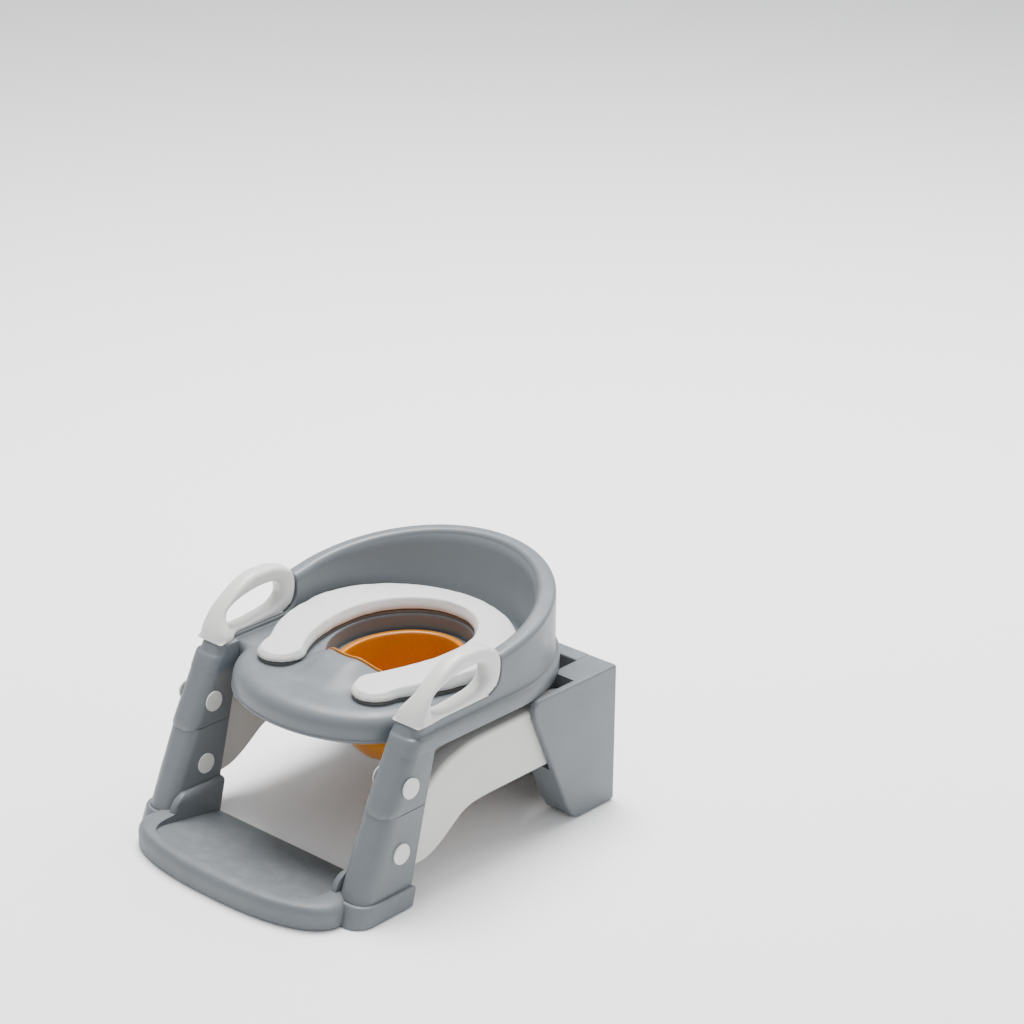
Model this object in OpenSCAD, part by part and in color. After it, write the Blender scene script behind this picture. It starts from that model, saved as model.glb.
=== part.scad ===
// Two-in-one potty training chair: a seat with a lift-out pot and a cushion, on fixed front legs with a
// step, and a rear stand on folding legs that swings down and forward into a second step.
// X is the seated child's left, -Y is the front, Z is up. The floor is z = 0.

/* [Seat] */
// Width of the seat across its outer band
seat_w = 352; // [300:1:420]
// Height of the seat's underside above the floor
seat_h = 174; // [160:1:200]
// Distance from the seat's widest line to its rearmost point
seat_rear = 178; // [150:1:210]
// Distance from the front leg line to the seat's widest line
seat_straight = 112; // [95:1:135]
// Height of the band that runs round the seat
band_h = 18; // [12:1:24]
// Height of the seating deck above the seat's underside
deck_h = 25; // [22:1:32]
// Inset of the wall from the band
wall_inset = 5; // [2:1:10]
// Thickness of the double back wall
wall_t = 20; // [14:1:26]
// Height of the wall's rim above the deck, beside the handles
rim_side_h = 45; // [35:1:60]
// Slope of the wall's rim in degrees, rising to the back
rim_slope = 10.5; // [4:0.5:16]
// Moulded wall thickness of the seat
shell_t = 3; // [2.2:0.1:4]

/* [Front deck] */
// Half width of the oval front deck
nose_a = 131; // [110:1:131]
// Length of the oval front deck ahead of the leg line
nose_b = 88; // [70:1:105]
// How far the front lip hangs below the seat's underside
nose_drop = 6; // [0:1:12]
// Height of the splash guard above the deck
guard_h = 17; // [8:1:30]
// Half width of the splash guard, between the cushion's tips
guard_a = 40; // [30:1:41]

/* [Opening and pot] */
// Half width of the seat opening
hole_a = 78; // [65:1:88]
// Half length of the seat opening
hole_b = 90; // [75:1:96]
// Gap between the pot's rim and the skirt round it
pot_gap = 6; // [3:0.5:10]
// Depth of the pot under its rim
pot_depth = 106; // [70:1:125]
// Wall thickness of the pot
pot_t = 2.6; // [1.8:0.1:4]
// Depth of the pot's rim below the deck
pot_drop = 18; // [12:1:26]

/* [Cushion] */
// Gap between the cushion and the wall
cushion_gap = 3; // [3:0.5:12]
// Thickness of the cushion
cushion_t = 20; // [12:1:30]
// Thickness of the stiff board under the cushion
board_t = 3; // [2:0.5:5]

/* [Legs] */
// Distance between the inner faces of the front legs
legs_apart = 265; // [240:1:280]
// Width of a front leg
leg_w = 43.5; // [38:0.5:52]
// Moulded wall thickness of a front leg
leg_t = 3; // [2.2:0.1:4]
// Height of the joint between the upper and lower front leg
leg_joint_h = 114; // [106:1:118]
// Height of the knee pivot above the floor
knee_h = 69; // [66:1:74]
// Height of the upper leg bolt above the floor
upper_bolt_h = 142; // [138:1:146]
// Diameter of the bolt heads
head_d = 24; // [20:1:28]
// Diameter of the bolt shanks
shank_d = 8; // [6:0.5:10]

/* [Step] */
// Width across the step's outer collars
step_w = 368; // [364:1:400]
// Half width of the bulge ahead of the front legs
step_a = 155; // [150:1:165]
// How far the step bulges ahead of the front legs
step_b = 54; // [40:1:70]
// Height of the step's front rim
step_h = 33; // [26:1:42]
// Height of the collar round the outside of each leg
collar_h = 24; // [18:1:34]
// Height of the collar on the inside of each leg
collar_in_h = 47; // [38:1:56]

/* [Folding legs and stand] */
// Width of the rear stand
stand_w = 360; // [340:1:362]
// Width of one cheek of the stand
cheek_w = 42; // [38:1:48]
// Depth of the stand, front to back
stand_d = 141; // [120:1:160]
// Thickness of the folding legs
fold_t = 26; // [20:1:28]
// Height of the folding legs' section
fold_h = 78; // [60:1:82]
// Distance from the knee pivot to the ankle pivot, front to back
fold_reach = 267; // [250:1:285]
// Height of the ankle pivot above the floor
ankle_h = 121; // [118:1:126]
// Moulded wall thickness of the stand
stand_t = 3.5; // [2.5:0.1:5]
// Thickness of the stand's step board, ribs included
plate_t = 23; // [16:1:30]

/* [Fits] */
// Radial clearance of a pin in its bore
pin_gap = 0.05; // [0.02:0.01:0.1]
// Gap between pieces that move past each other
move_gap = 1.5; // [1:0.1:3]
// Gap between faces of two bodies that rest on each other
rest_gap = 0.3; // [0.1:0.05:0.5]
// Gap between pieces that fit into each other
fit_gap = 0.2; // [0.1:0.05:0.4]

/* [Hidden] */
$fn = 64;

grey = "slategray";
white = "whitesmoke";
arc_steps = 36;
eps = 0.01;
lap = 0.5;
big = 1000;

// ---- derived places, measured from the front leg line (y = 0 before the final shift) ----
seat_a = seat_w / 2;
deck_z = seat_h + deck_h;
seat_y = seat_straight;
wall_a = seat_a - wall_inset;
wall_rear = seat_rear - wall_inset;
inner_a = wall_a - wall_t;
inner_rear = wall_rear - wall_t;
// the wall's inner face leans back: its foot stands this far inside its top at the rear
lean = 26;
side_lean = 4;
rim_y = seat_y - 6;
rim_z = deck_z + rim_side_h + 4;
hole_y = seat_y - 6;
leg_in = legs_apart / 2;
leg_out = leg_in + leg_w;
front_y = -146;
knee_y = -76;
upper_y = -61;
ankle_y = knee_y + fold_reach;
stand_rear = ankle_y + 84;
stand_front = stand_rear - stand_d;
stand_h = seat_h - rest_gap;
step_front = front_y - step_b;
y_mid = (step_front + seat_y + seat_rear) / 2;

function arc(cx, cy, rx, ry, from, to, n = arc_steps) =
    [for (i = [0:n]) let (a = from + (to - from) * i / n) [cx + rx * cos(a), cy + ry * sin(a)]];

// Outline of the seat: straight sides from y0 back to the widest line, then a half ellipse.
module seat_outline(a, rear, y0) {
    polygon(concat([[a, y0]], arc(0, seat_y, a, rear, 0, 180), [[-a, y0]]));
}

// ---- more places ----
guard_y = hole_y - hole_b;
nose_y = -4;
nose_round = 24;
nose_slices = 4;
bucket_slices = 4;
band_y0 = -30;
side_y0 = -20;
shoulder_z = deck_z + 5;
wall_front = 88;
pot_a = hole_a - pot_gap;
pot_b = hole_b - pot_gap;
pot_lip = 5;
pot_top = deck_z - pot_drop;
ledge_z = pot_top - pot_t - rest_gap;
ledge_t = 3;
skirt_low = seat_h;
foot_lift = 1;
fold_out = leg_out - leg_t - 2;
fold_in = fold_out - fold_t;
cheek_out = stand_w / 2;
cheek_in = cheek_out - cheek_w;
slot_in = fold_in - move_gap;
slot_out = fold_out + move_gap;
fold_lo = ankle_h - fold_h / 2;
fold_hi = ankle_h + fold_h / 2;
knee_round = 36;
bush_r = shank_d / 2 + 3;
pin_r = 5;
boss_r = 12;
head_t = 5;
cush_a = inner_a - side_lean - cushion_gap;
cush_rear = inner_rear - lean - cushion_gap;
cush_front = seat_straight + 64;
cush_hole_a = hole_a - 4;
cush_hole_rear = hole_b - 4;
cush_hole_front = hole_b + 36;
tip_x = cush_a - 70;
tip_y = -8;
tip_r = 33;
tongue_top = 165;
channel_top = 136;
thin = leg_t + fit_gap;

// Front and rear faces of a front leg at height z.
function front_at(z) = front_y + z * 66 / 178;
function rear_at(z) = -64 + z * 43 / 174;
// Height of the wall's rim over y.
function rim_at(y) = rim_z + (y - rim_y) * tan(rim_slope);

module left_and_right() {
    children();
    mirror([1, 0, 0]) children();
}

// Extrudes a profile drawn in Y and Z from x0 to x1.
module along_x(x0, x1) {
    translate([x0, 0, 0]) rotate([90, 0, 90]) linear_extrude(x1 - x0) children();
}

module slab(z0, z1) {
    translate([0, 0, z0]) linear_extrude(z1 - z0) children();
}

module rod_x(x0, x1, y, z, r) {
    translate([x0, y, z]) rotate([0, 90, 0]) cylinder(h = x1 - x0, r = r);
}

module oval(a, b, y = hole_y) {
    polygon(arc(0, y, a, b, 0, 360 - 360 / arc_steps, arc_steps - 1));
}

// Closed solid through oval rings, each [half width, half length, height].
module oval_loft(rings, y) {
    count = len(rings);
    points = [for (r = rings) for (p = arc(0, y, r[0], r[1], 0, 360 - 360 / arc_steps, arc_steps - 1))
        [p[0], p[1], r[2]]];
    sides = [for (k = [0:count - 2]) for (i = [0:arc_steps - 1]) let (j = (i + 1) % arc_steps)
        [k * arc_steps + i, (k + 1) * arc_steps + i, (k + 1) * arc_steps + j, k * arc_steps + j]];
    first = [for (i = [0:arc_steps - 1]) i];
    last = [for (i = [0:arc_steps - 1]) (count - 1) * arc_steps + arc_steps - 1 - i];
    polyhedron(points, concat([first], sides, [last]));
}

// ---- seat shell ----
// Side view of the wall: shoulder beside the handle, then the sloping rim.
module wall_side(lower = 0) {
    z0 = seat_h + band_h - shell_t;
    polygon([[side_y0, z0], [side_y0, shoulder_z - lower], [70 + lower, shoulder_z - lower],
        [wall_front - 4 + lower, shoulder_z + 10 - lower], [wall_front + lower, shoulder_z + 22],
        [wall_front + lower, rim_at(wall_front) - lower], [2 * big, rim_at(2 * big) - lower], [2 * big, z0]]);
}

// The hollow that the child sits in, leaning back towards the rim; grow adds to its size.
module bucket(grow) {
    step_z = (rim_at(seat_y + seat_rear) - deck_z) / bucket_slices;
    for (i = [0:bucket_slices - 1]) {
        tuck = 1 - i / (bucket_slices - 1);
        top = i == bucket_slices - 1 ? big : deck_z + (i + 1) * step_z + lap;
        slab(deck_z + i * step_z - grow, top)
            seat_outline(inner_a - side_lean * tuck + grow, inner_rear - lean * tuck + grow, side_y0 - eps);
    }
}

module seat_wall() {
    difference() {
        intersection() {
            slab(seat_h, 2 * big) seat_outline(wall_a, wall_rear, side_y0);
            along_x(-big, big) wall_side();
        }
        bucket(0);
        difference() {
            intersection() {
                slab(seat_h, 2 * big) seat_outline(wall_a - shell_t, wall_rear - shell_t, side_y0 + shell_t);
                along_x(-big, big) wall_side(shell_t);
            }
            bucket(2 * shell_t);
        }
        slab(seat_h, deck_z) seat_outline(inner_a - side_lean + shell_t, inner_rear - lean, side_y0 + shell_t);
    }
}

module seat_band() {
    difference() {
        slab(seat_h, seat_h + band_h) seat_outline(seat_a, seat_rear, band_y0);
        slab(seat_h - eps, seat_h + band_h - shell_t)
            seat_outline(seat_a - shell_t, seat_rear - shell_t, band_y0 - eps);
        slab(seat_h, deck_z) seat_outline(wall_a - 2 * shell_t, wall_rear - 2 * shell_t, band_y0 - eps);
    }
}

module seat_deck() {
    slab(deck_z - shell_t, deck_z) difference() {
        seat_outline(inner_a + 2 * shell_t - lap, inner_rear - lean + shell_t, side_y0);
        oval(hole_a, hole_b);
    }
}

// The front deck is a stack that rounds over towards its top; shrink makes its inside.
module nose_stack(shrink) {
    low = seat_h - nose_drop;
    step_z = (deck_z - low) / nose_slices;
    for (i = [0:nose_slices - 1]) {
        rise = i / nose_slices;
        inset = shrink + nose_round * (1 - sqrt(1 - pow(rise, 4)));
        slab(low + i * step_z - (i > 0 ? lap : 0) - shrink, low + (i + 1) * step_z - shrink)
            polygon(concat(arc(0, nose_y, nose_a - shrink - (inset - shrink) / 2, nose_b - inset, 180, 360),
                [[nose_a - shrink, guard_y + shell_t], [shrink - nose_a, guard_y + shell_t]]));
    }
}

module seat_nose() {
    difference() {
        nose_stack(0);
        nose_stack(shell_t);
        translate([0, 0, -2 * shell_t]) nose_stack(shell_t);
        slab(0, 2 * big) oval(hole_a, hole_b);
    }
}

// Splash guard: a hump that rises to the edge of the opening.
module splash_guard() {
    run = 62;
    difference() {
        intersection() {
            along_x(-hole_a, hole_a) polygon(concat([[guard_y + 4, deck_z - eps]],
                [[guard_y + 4, deck_z + guard_h]],
                [for (i = [0:arc_steps / 2]) let (t = 1 - 2 * i / arc_steps)
                    [guard_y - run * (1 - t), deck_z + guard_h * t * t * (3 - 2 * t)]]));
            translate([0, guard_y + 10, 0]) rotate([90, 0, 0]) linear_extrude(2 * run)
                polygon(arc(0, deck_z - 2, guard_a, guard_h + 2, 0, 180));
        }
        slab(0, 2 * big) oval(hole_a, hole_b);
    }
}

module skirt() {
    slab(skirt_low, deck_z - eps) difference() {
        oval(hole_a + shell_t, hole_b + shell_t);
        oval(hole_a, hole_b);
    }
    slab(ledge_z - ledge_t, ledge_z) difference() {
        oval(hole_a + shell_t, hole_b + shell_t);
        oval(pot_a - pot_lip + 1, pot_b - pot_lip + 1);
    }
}

module leg_housing() {
    j = leg_joint_h;
    difference() {
        along_x(leg_in, leg_out) polygon([[front_at(j), j], [-80, 178], [-73, 192], [-64, shoulder_z],
            [side_y0, shoulder_z], [side_y0, seat_h], [rear_at(seat_h), seat_h], [rear_at(j), j]]);
        along_x(leg_in + leg_t, leg_out - leg_t) polygon([[front_at(j) + thin, j - 1], [-77, 178],
            [-64, shoulder_z - leg_t], [side_y0 - leg_t, shoulder_z - leg_t], [side_y0 - leg_t, seat_h],
            [rear_at(channel_top) - leg_t, channel_top], [0, channel_top], [0, j - 1]]);
    }
}

module peg_places() {
    left_and_right() for (y = [30, 150]) translate([(hole_a + cush_a) / 2, y]) children();
}

module screw_places() {
    left_and_right() for (y = [-35, 45]) translate([wall_a - wall_t / 2, y]) children();
}

module seat_shell() color(grey) difference() {
    union() {
        difference() {
            union() {
                seat_band();
                seat_wall();
                seat_deck();
                splash_guard();
            }
            left_and_right() along_x(leg_in + leg_t, leg_out - leg_t)
                polygon([[-big, 0], [-big, shoulder_z - leg_t], [side_y0 - leg_t, shoulder_z - leg_t],
                    [side_y0 - leg_t, 0]]);
        }
        seat_nose();
        skirt();
        left_and_right() leg_housing();
    }
    left_and_right() rod_x(0, big, upper_y, upper_bolt_h, shank_d / 2 + pin_gap);
    slab(deck_z - 2 * shell_t, deck_z + eps) peg_places() circle(r = 4.5);
    slab(shoulder_z - 2 * leg_t, shoulder_z + eps) screw_places() circle(r = 2 + pin_gap);
}

// ---- front legs ----
module lower_leg() color(grey) difference() {
    j = leg_joint_h - fit_gap;
    union() {
        along_x(leg_in, leg_out)
            polygon([[front_at(foot_lift), foot_lift], [front_at(j), j], [rear_at(j), j],
                [rear_at(foot_lift), foot_lift]]);
        along_x(leg_in + thin, leg_out - thin)
            polygon([[front_at(j) + leg_t + thin, j - eps], [front_at(tongue_top) + leg_t + thin, tongue_top],
                [rear_at(tongue_top) - thin, tongue_top], [rear_at(j) - thin, j - eps]]);
    }
    difference() {
        along_x(leg_in + leg_t, leg_out - leg_t)
            polygon([[front_at(0) + leg_t, 0], [front_at(j) + leg_t, j - leg_t], [0, j - leg_t], [0, 0]]);
        knee_bosses();
    }
    along_x(leg_in + 2 * thin, leg_out - 2 * thin)
        polygon([[front_at(j) + leg_t + 2 * thin, j - 2 * leg_t],
            [front_at(tongue_top) + leg_t + 2 * thin, tongue_top + eps], [0, tongue_top + eps], [0, j - 2 * leg_t]]);
    // room for the folding leg's upper edge where it leaves the leg
    along_x(fold_in - move_gap, fold_out + move_gap)
        polygon([[-70, 99.5], [-20, 135], [0, 135], [0, 80], [-60, 80]]);
    rod_x(0, big, knee_y, knee_h, shank_d / 2 + pin_gap);
    rod_x(0, big, upper_y, upper_bolt_h, shank_d / 2 + pin_gap);
}

module knee_bosses() {
    rod_x(leg_in, fold_in - 1.5, knee_y, knee_h, boss_r);
    rod_x(fold_out + rest_gap, leg_out, knee_y, knee_h, boss_r);
}

// Round-headed bolt from the outside, and the cap nut that takes it on the inside.
module side_bolt(y, z) color(white) union() {
    rod_x(leg_in - head_t / 2, leg_out + eps, y, z, shank_d / 2);
    bolt_cap(y, z, leg_out, 1);
}

module cap_nut(y, z) color(white) difference() {
    bolt_cap(y, z, leg_in, -1);
    rod_x(leg_in - head_t / 2, big, y, z, shank_d / 2 + pin_gap);
}

module bolt_cap(y, z, x, side) {
    r = head_d / 2;
    translate([x, y, z]) rotate([0, 90 * side, 0]) rotate_extrude()
        polygon([[0, 0], [r, 0], [r, head_t - 2], [r - 0.8, head_t - 0.9], [r - 2.4, head_t], [0, head_t]]);
}

// ---- step ----
// Squareness of the bulge's outline: 1 is an ellipse, less is squarer.
bulge = 0.83;
collar_t = 5;

module step_plan(shrink) {
    a = step_a - shrink;
    b = step_b - shrink;
    polygon(concat([for (i = [0:arc_steps]) let (t = 180 + 180 * i / arc_steps)
        [a * sign(cos(t)) * pow(abs(cos(t)), bulge), front_y - b * pow(abs(sin(t)), bulge)]],
        [[a, rear_at(0)], [-a, rear_at(0)]]));
}

module step_side(lower) {
    rear = rear_at(0);
    f = step_front;
    polygon([[rear, foot_lift - lower], [rear, 12 - lower], [f + 24, step_h - 6 - lower],
        [f + 18, step_h - lower], [f + 9 + lower, step_h - lower], [f + 3 + lower, step_h - 4 - lower],
        [f + lower, step_h - 12 - lower], [f + lower, foot_lift - lower]]);
}

module leg_hole(grow) {
    along_x(leg_in - grow, leg_out + grow)
        polygon([[front_at(-10) - grow, -10], [front_at(big / 4) - grow, big / 4], [0, big / 4], [0, -10]]);
}

module step_board() color(grey) difference() {
    union() {
        intersection() {
            slab(0, big) step_plan(0);
            along_x(-big, big) step_side(0);
        }
        left_and_right() collar();
    }
    difference() {
        intersection() {
            slab(-big, big) step_plan(shell_t);
            along_x(-big, big) step_side(shell_t);
        }
        left_and_right() along_x(leg_in - 9, leg_out + shell_t) polygon([[-big, -1], [-big, big], [0, big], [0, -1]]);
        for (x = [-90:30:90]) along_x(x - 1, x + 1) polygon([[-big, 0], [-big, big], [0, big], [0, 0]]);
        along_x(-big, big) polygon([[-131, 0], [-131, big], [-129, big], [-129, 0]]);
        foot_places(1.5);
    }
    left_and_right() leg_hole(fit_gap);
    foot_solids(fit_gap);
}

module collar() {
    along_x(leg_in - eps, step_w / 2)
        polygon([[front_at(foot_lift) - collar_t, foot_lift], [front_at(collar_h) - collar_t, collar_h],
            [rear_at(collar_h), collar_h], [rear_at(0), foot_lift]]);
    along_x(leg_in - 8, leg_in) polygon([[front_at(0) - 2, foot_lift], [front_at(collar_in_h) - 2, collar_in_h],
        [rear_at(collar_in_h), collar_in_h], [rear_at(0), foot_lift]]);
}

module foot_boxes(grow, z0, z1) {
    for (place = [[100, -178, 15, 5], [leg_in - 4, -90, 2.5, 18]])
        translate([place[0] - place[2] - grow, place[1] - place[3] - grow, z0])
            cube([2 * (place[2] + grow), 2 * (place[3] + grow), z1 - z0]);
}

module foot_places(grow) {
    left_and_right() foot_boxes(grow, 0, 8);
}

module foot_solids(grow) {
    left_and_right() foot_boxes(grow, 0, 3.5 + grow);
}

module step_feet() color("black") foot_solids(0);

// ---- handles ----
module handle_side() {
    cy = 20;
    reach = 84;
    rise = shoulder_z + 64 - shoulder_z;
    base = shoulder_z + fit_gap;
    stop = wall_front - fit_gap;
    difference() {
        polygon(concat(arc(cy, base, reach, rise, 180, acos((stop - cy) / reach)),
            [[stop, shoulder_z + 22], [stop - 4, shoulder_z + 10 + fit_gap], [70 - fit_gap, base]]));
        polygon([for (i = [0:arc_steps - 1]) let (t = 360 * i / arc_steps,
            u = 45 * sign(cos(t)) * pow(abs(cos(t)), 0.75), v = 17.5 * sign(sin(t)) * pow(abs(sin(t)), 0.75))
            [22 + u * cos(7) - v * sin(7), shoulder_z + 24 + u * sin(7) + v * cos(7)]]);
    }
}

module handle() color(white) difference() {
    union() {
        intersection() {
            along_x(wall_a - wall_t - 2, wall_a + 2) handle_side();
            slab(0, big) polygon([[0, -big], [0, big], [big, big], [big, -big]]);
        }
        intersection() {
            along_x(leg_in + 1, leg_out - 1) handle_side();
            along_x(0, big) polygon([[-big, 0], [-big, big], [-38, big], [-38, shoulder_z + 20], [-22, 0]]);
        }
    }
    slab(shoulder_z - eps, shoulder_z + 8) screw_places() circle(r = 2 + pin_gap);
}

module handle_screws() color("silver") {
    slab(shoulder_z - leg_t - 2.5, shoulder_z - leg_t) screw_places() circle(r = 4);
    slab(shoulder_z - leg_t - eps, shoulder_z + 7) screw_places() circle(r = 2);
}

// ---- cushion ----
function cushion_outline(d) = concat(
    arc(0, seat_y, cush_a - d, cush_rear - d, 0, 180),
    arc(0, seat_y, cush_a - d, cush_front - d, 180, 180 + acos((tip_x + tip_r) / cush_a), 12),
    arc(-tip_x, tip_y, tip_r - d, tip_r - d, 190, 360, 16),
    arc(0, hole_y, cush_hole_a + d, cush_hole_front + d, 180 + acos((tip_x - tip_r) / cush_hole_a), 180, 12),
    arc(0, hole_y, cush_hole_a + d, cush_hole_rear + d, 180, 0),
    arc(0, hole_y, cush_hole_a + d, cush_hole_front + d, 360, 360 - acos((tip_x - tip_r) / cush_hole_a), 12),
    arc(tip_x, tip_y, tip_r - d, tip_r - d, 180, 350, 16),
    arc(0, seat_y, cush_a - d, cush_front - d, 360 - acos((tip_x + tip_r) / cush_a), 360 - 3, 12));

module cushion() color(white)
    slab(deck_z + rest_gap + board_t, deck_z + rest_gap + board_t + cushion_t) polygon(cushion_outline(0));

module cushion_board() color(white) {
    slab(deck_z + rest_gap, deck_z + rest_gap + board_t) polygon(cushion_outline(6));
    slab(deck_z - shell_t - 2, deck_z + rest_gap + eps) peg_places() circle(r = 4);
}

// ---- pot ----
module potty() color("darkorange") {
    a = pot_a;
    b = pot_b;
    l = pot_lip;
    z = pot_top;
    low = pot_top - pot_depth;
    t = pot_t;
    shape = [[0, 0], [0.04, 14], [0.10, 34], [0.20, 62], [0.45, 88], [0.7, 99], [1, pot_depth]];
    taper = 16;
    outer = [for (i = [len(shape) - 1:-1:1]) [a - l - taper * shape[i][0] * 1.6, b - l - taper * shape[i][0] * 1.6,
        z - shape[i][1]]];
    inner = [for (i = [1:len(shape) - 1]) [a - l - t - taper * shape[i][0] * 1.6,
        b - l - t - taper * shape[i][0] * 1.6, max(z - shape[i][1], low + t)]];
    oval_loft(concat(outer, [[a - l, b - l, z - t], [a, b, z - t], [a, b, z], [a - l - t, b - l - t, z]], inner),
        hole_y);
}

// ---- folding legs ----
module fold_side() {
    circle_at(knee_y, knee_h, knee_round);
    circle_at(ankle_y, ankle_h, fold_h / 2);
    polygon([[knee_y + 15, knee_h - 32.7], [knee_y + 98, fold_lo - 9], [knee_y + 112, fold_lo - 3],
        [knee_y + 127, fold_lo], [ankle_y, fold_lo], [ankle_y, fold_hi], [knee_y + 136, fold_hi],
        [knee_y + 117, fold_hi - 2], [knee_y + 98, fold_hi - 7], [knee_y + 80, fold_hi - 15],
        [knee_y + 48, fold_hi - 34], [knee_y + 14, knee_h + 33]]);
}

module circle_at(y, z, r) {
    translate([y, z]) circle(r = r);
}

module folding_leg() color(white) difference() {
    along_x(fold_in, fold_out) fold_side();
    along_x(fold_in + 3, fold_out - 3) polygon([[knee_y + 38, knee_h - 18], [knee_y + 98, fold_lo - 4],
        [knee_y + 127, fold_lo + 4], [ankle_y - 18, fold_lo + 4], [ankle_y - 18, fold_hi - 4],
        [knee_y + 136, fold_hi - 4], [knee_y + 98, fold_hi - 11], [knee_y + 38, knee_h + 44]]);
    rod_x(0, big, knee_y, knee_h, bush_r + fit_gap / 2);
    rod_x(0, big, ankle_y, ankle_h, pin_r + pin_gap);
}

module knee_bush() color("dimgray") difference() {
    union() {
        rod_x(fold_in - 1, fold_out, knee_y, knee_h, bush_r);
        rod_x(fold_in - 1, fold_in, knee_y, knee_h, bush_r + 3);
    }
    rod_x(0, big, knee_y, knee_h, shank_d / 2 + pin_gap);
}

// ---- rear stand ----
module cheek_side(t) {
    r = stand_rear;
    f = stand_front;
    h = stand_h;
    polygon([[r + t, foot_lift + t], [r + t, h - t], [f + 16, h - t], [f + 5 + t / 2, h - 3 - t],
        [f + t, h - 11], [f + 3 + t, h - 24], [f + 57 + t, 24], [f + 69 + t / 2, 6 + t / 2], [f + 81, foot_lift + t]]);
}

module cheek() {
    difference() {
        along_x(cheek_in, cheek_out) cheek_side(0);
        difference() {
            along_x(cheek_in + stand_t, cheek_out - stand_t) cheek_side(stand_t);
            rod_x(cheek_in, fold_in - rest_gap, ankle_y, ankle_h, boss_r);
            rod_x(fold_out + rest_gap, cheek_out, ankle_y, ankle_h, boss_r);
            along_x(cheek_in, cheek_out) strip_side(3);
        }
        along_x(slot_in, slot_out) polygon([[stand_front - 20, fold_lo - 6], [stand_front + 60, fold_lo - 6],
            [ankle_y + 17, stand_h - 20], [ankle_y + 17, big], [stand_front - 20, big]]);
        rod_x(cheek_in + stand_t - 2, cheek_out - stand_t + 2, ankle_y, ankle_h, pin_r + pin_gap);
        along_x(strip_x - 4 - fit_gap, strip_x + 4 + fit_gap) strip_side(fit_gap);
    }
}

strip_x = (cheek_in + cheek_out) / 2;

module strip_side(grow) {
    polygon([[stand_rear - 56 - grow, -1], [stand_rear - 56 - grow, 4 + grow], [stand_rear - 8 + grow, 4 + grow],
        [stand_rear - 8 + grow, -1]]);
}

module stand() color(grey) difference() {
    union() {
        left_and_right() cheek();
        difference() {
            along_x(-cheek_in - eps, cheek_in + eps) plate_side();
            difference() {
                along_x(shell_t - cheek_in, cheek_in - shell_t) polygon([
                    [stand_rear - plate_t + stand_t, foot_lift + shell_t],
                    [stand_rear - plate_t + stand_t, stand_h - shell_t],
                    [stand_rear + 1, stand_h - shell_t], [stand_rear + 1, foot_lift + shell_t]]);
                for (x = [-92:46:92]) along_x(x - 1, x + 1) plate_side();
                for (z = [45:42:129]) slab(z - 1, z + 1) translate([-big, stand_rear - plate_t]) square([2 * big, plate_t]);
            }
        }
    }
    stand_pad_solids(fit_gap);
}

module plate_side() {
    polygon([[stand_rear - plate_t, foot_lift], [stand_rear - plate_t, stand_h], [stand_rear, stand_h],
        [stand_rear, foot_lift]]);
}

module foot_strips() color("black") left_and_right()
    along_x(strip_x - 4, strip_x + 4) intersection() {
        strip_side(0);
        polygon([[0, 0], [0, 20], [big, 20], [big, 0]]);
    }

module stand_pad_solids(grow) {
    left_and_right() for (z = [14, stand_h - 30])
        translate([cheek_in - stand_t - 24 - grow, stand_rear - 3 - grow, z - grow])
            cube([24 + 2 * grow, 4 + grow, 16 + 2 * grow]);
}

module stand_pads() color("black") intersection() {
    stand_pad_solids(0);
    translate([-big, -big, 0]) cube([2 * big, big + stand_rear + 1, big]);
}

module ankle_pin() color("silver")
    rod_x(cheek_in + stand_t - 2 + pin_gap, cheek_out - stand_t + 2 - pin_gap, ankle_y, ankle_h, pin_r);

// Moves a piece from the leg line's frame to the middle of the whole chair.
module set() {
    translate([0, -y_mid, 0]) children();
}

module right() {
    mirror([1, 0, 0]) children();
}

set() seat_shell();
set() lower_leg();  // lower_leg_left
set() right() lower_leg();  // lower_leg_right
set() step_board();
set() handle();  // handle_left
set() right() handle();  // handle_right
set() handle_screws();
set() side_bolt(upper_y, upper_bolt_h);  // upper_bolt_left
set() right() side_bolt(upper_y, upper_bolt_h);  // upper_bolt_right
set() cap_nut(upper_y, upper_bolt_h);  // upper_nut_left
set() right() cap_nut(upper_y, upper_bolt_h);  // upper_nut_right
set() side_bolt(knee_y, knee_h);  // knee_bolt_left
set() right() side_bolt(knee_y, knee_h);  // knee_bolt_right
set() cap_nut(knee_y, knee_h);  // knee_nut_left
set() right() cap_nut(knee_y, knee_h);  // knee_nut_right
set() step_feet();
set() cushion();
set() cushion_board();
set() potty();
set() folding_leg();  // folding_leg_left
set() right() folding_leg();  // folding_leg_right
set() knee_bush();  // knee_bush_left
set() right() knee_bush();  // knee_bush_right
set() stand();
set() ankle_pin();  // ankle_pin_left
set() right() ankle_pin();  // ankle_pin_right
set() foot_strips();
set() stand_pads();
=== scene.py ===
"""Two-in-one potty training chair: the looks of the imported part.

Laid out as an add-on, run as a script. Sizes in the code are millimetres from the front leg line, and
`placed` turns them into metres in the part's own frame.
"""

import math

import bmesh
import bpy
import numpy as np
from mathutils import Matrix, Vector
from mathutils.bvhtree import BVHTree


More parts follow.
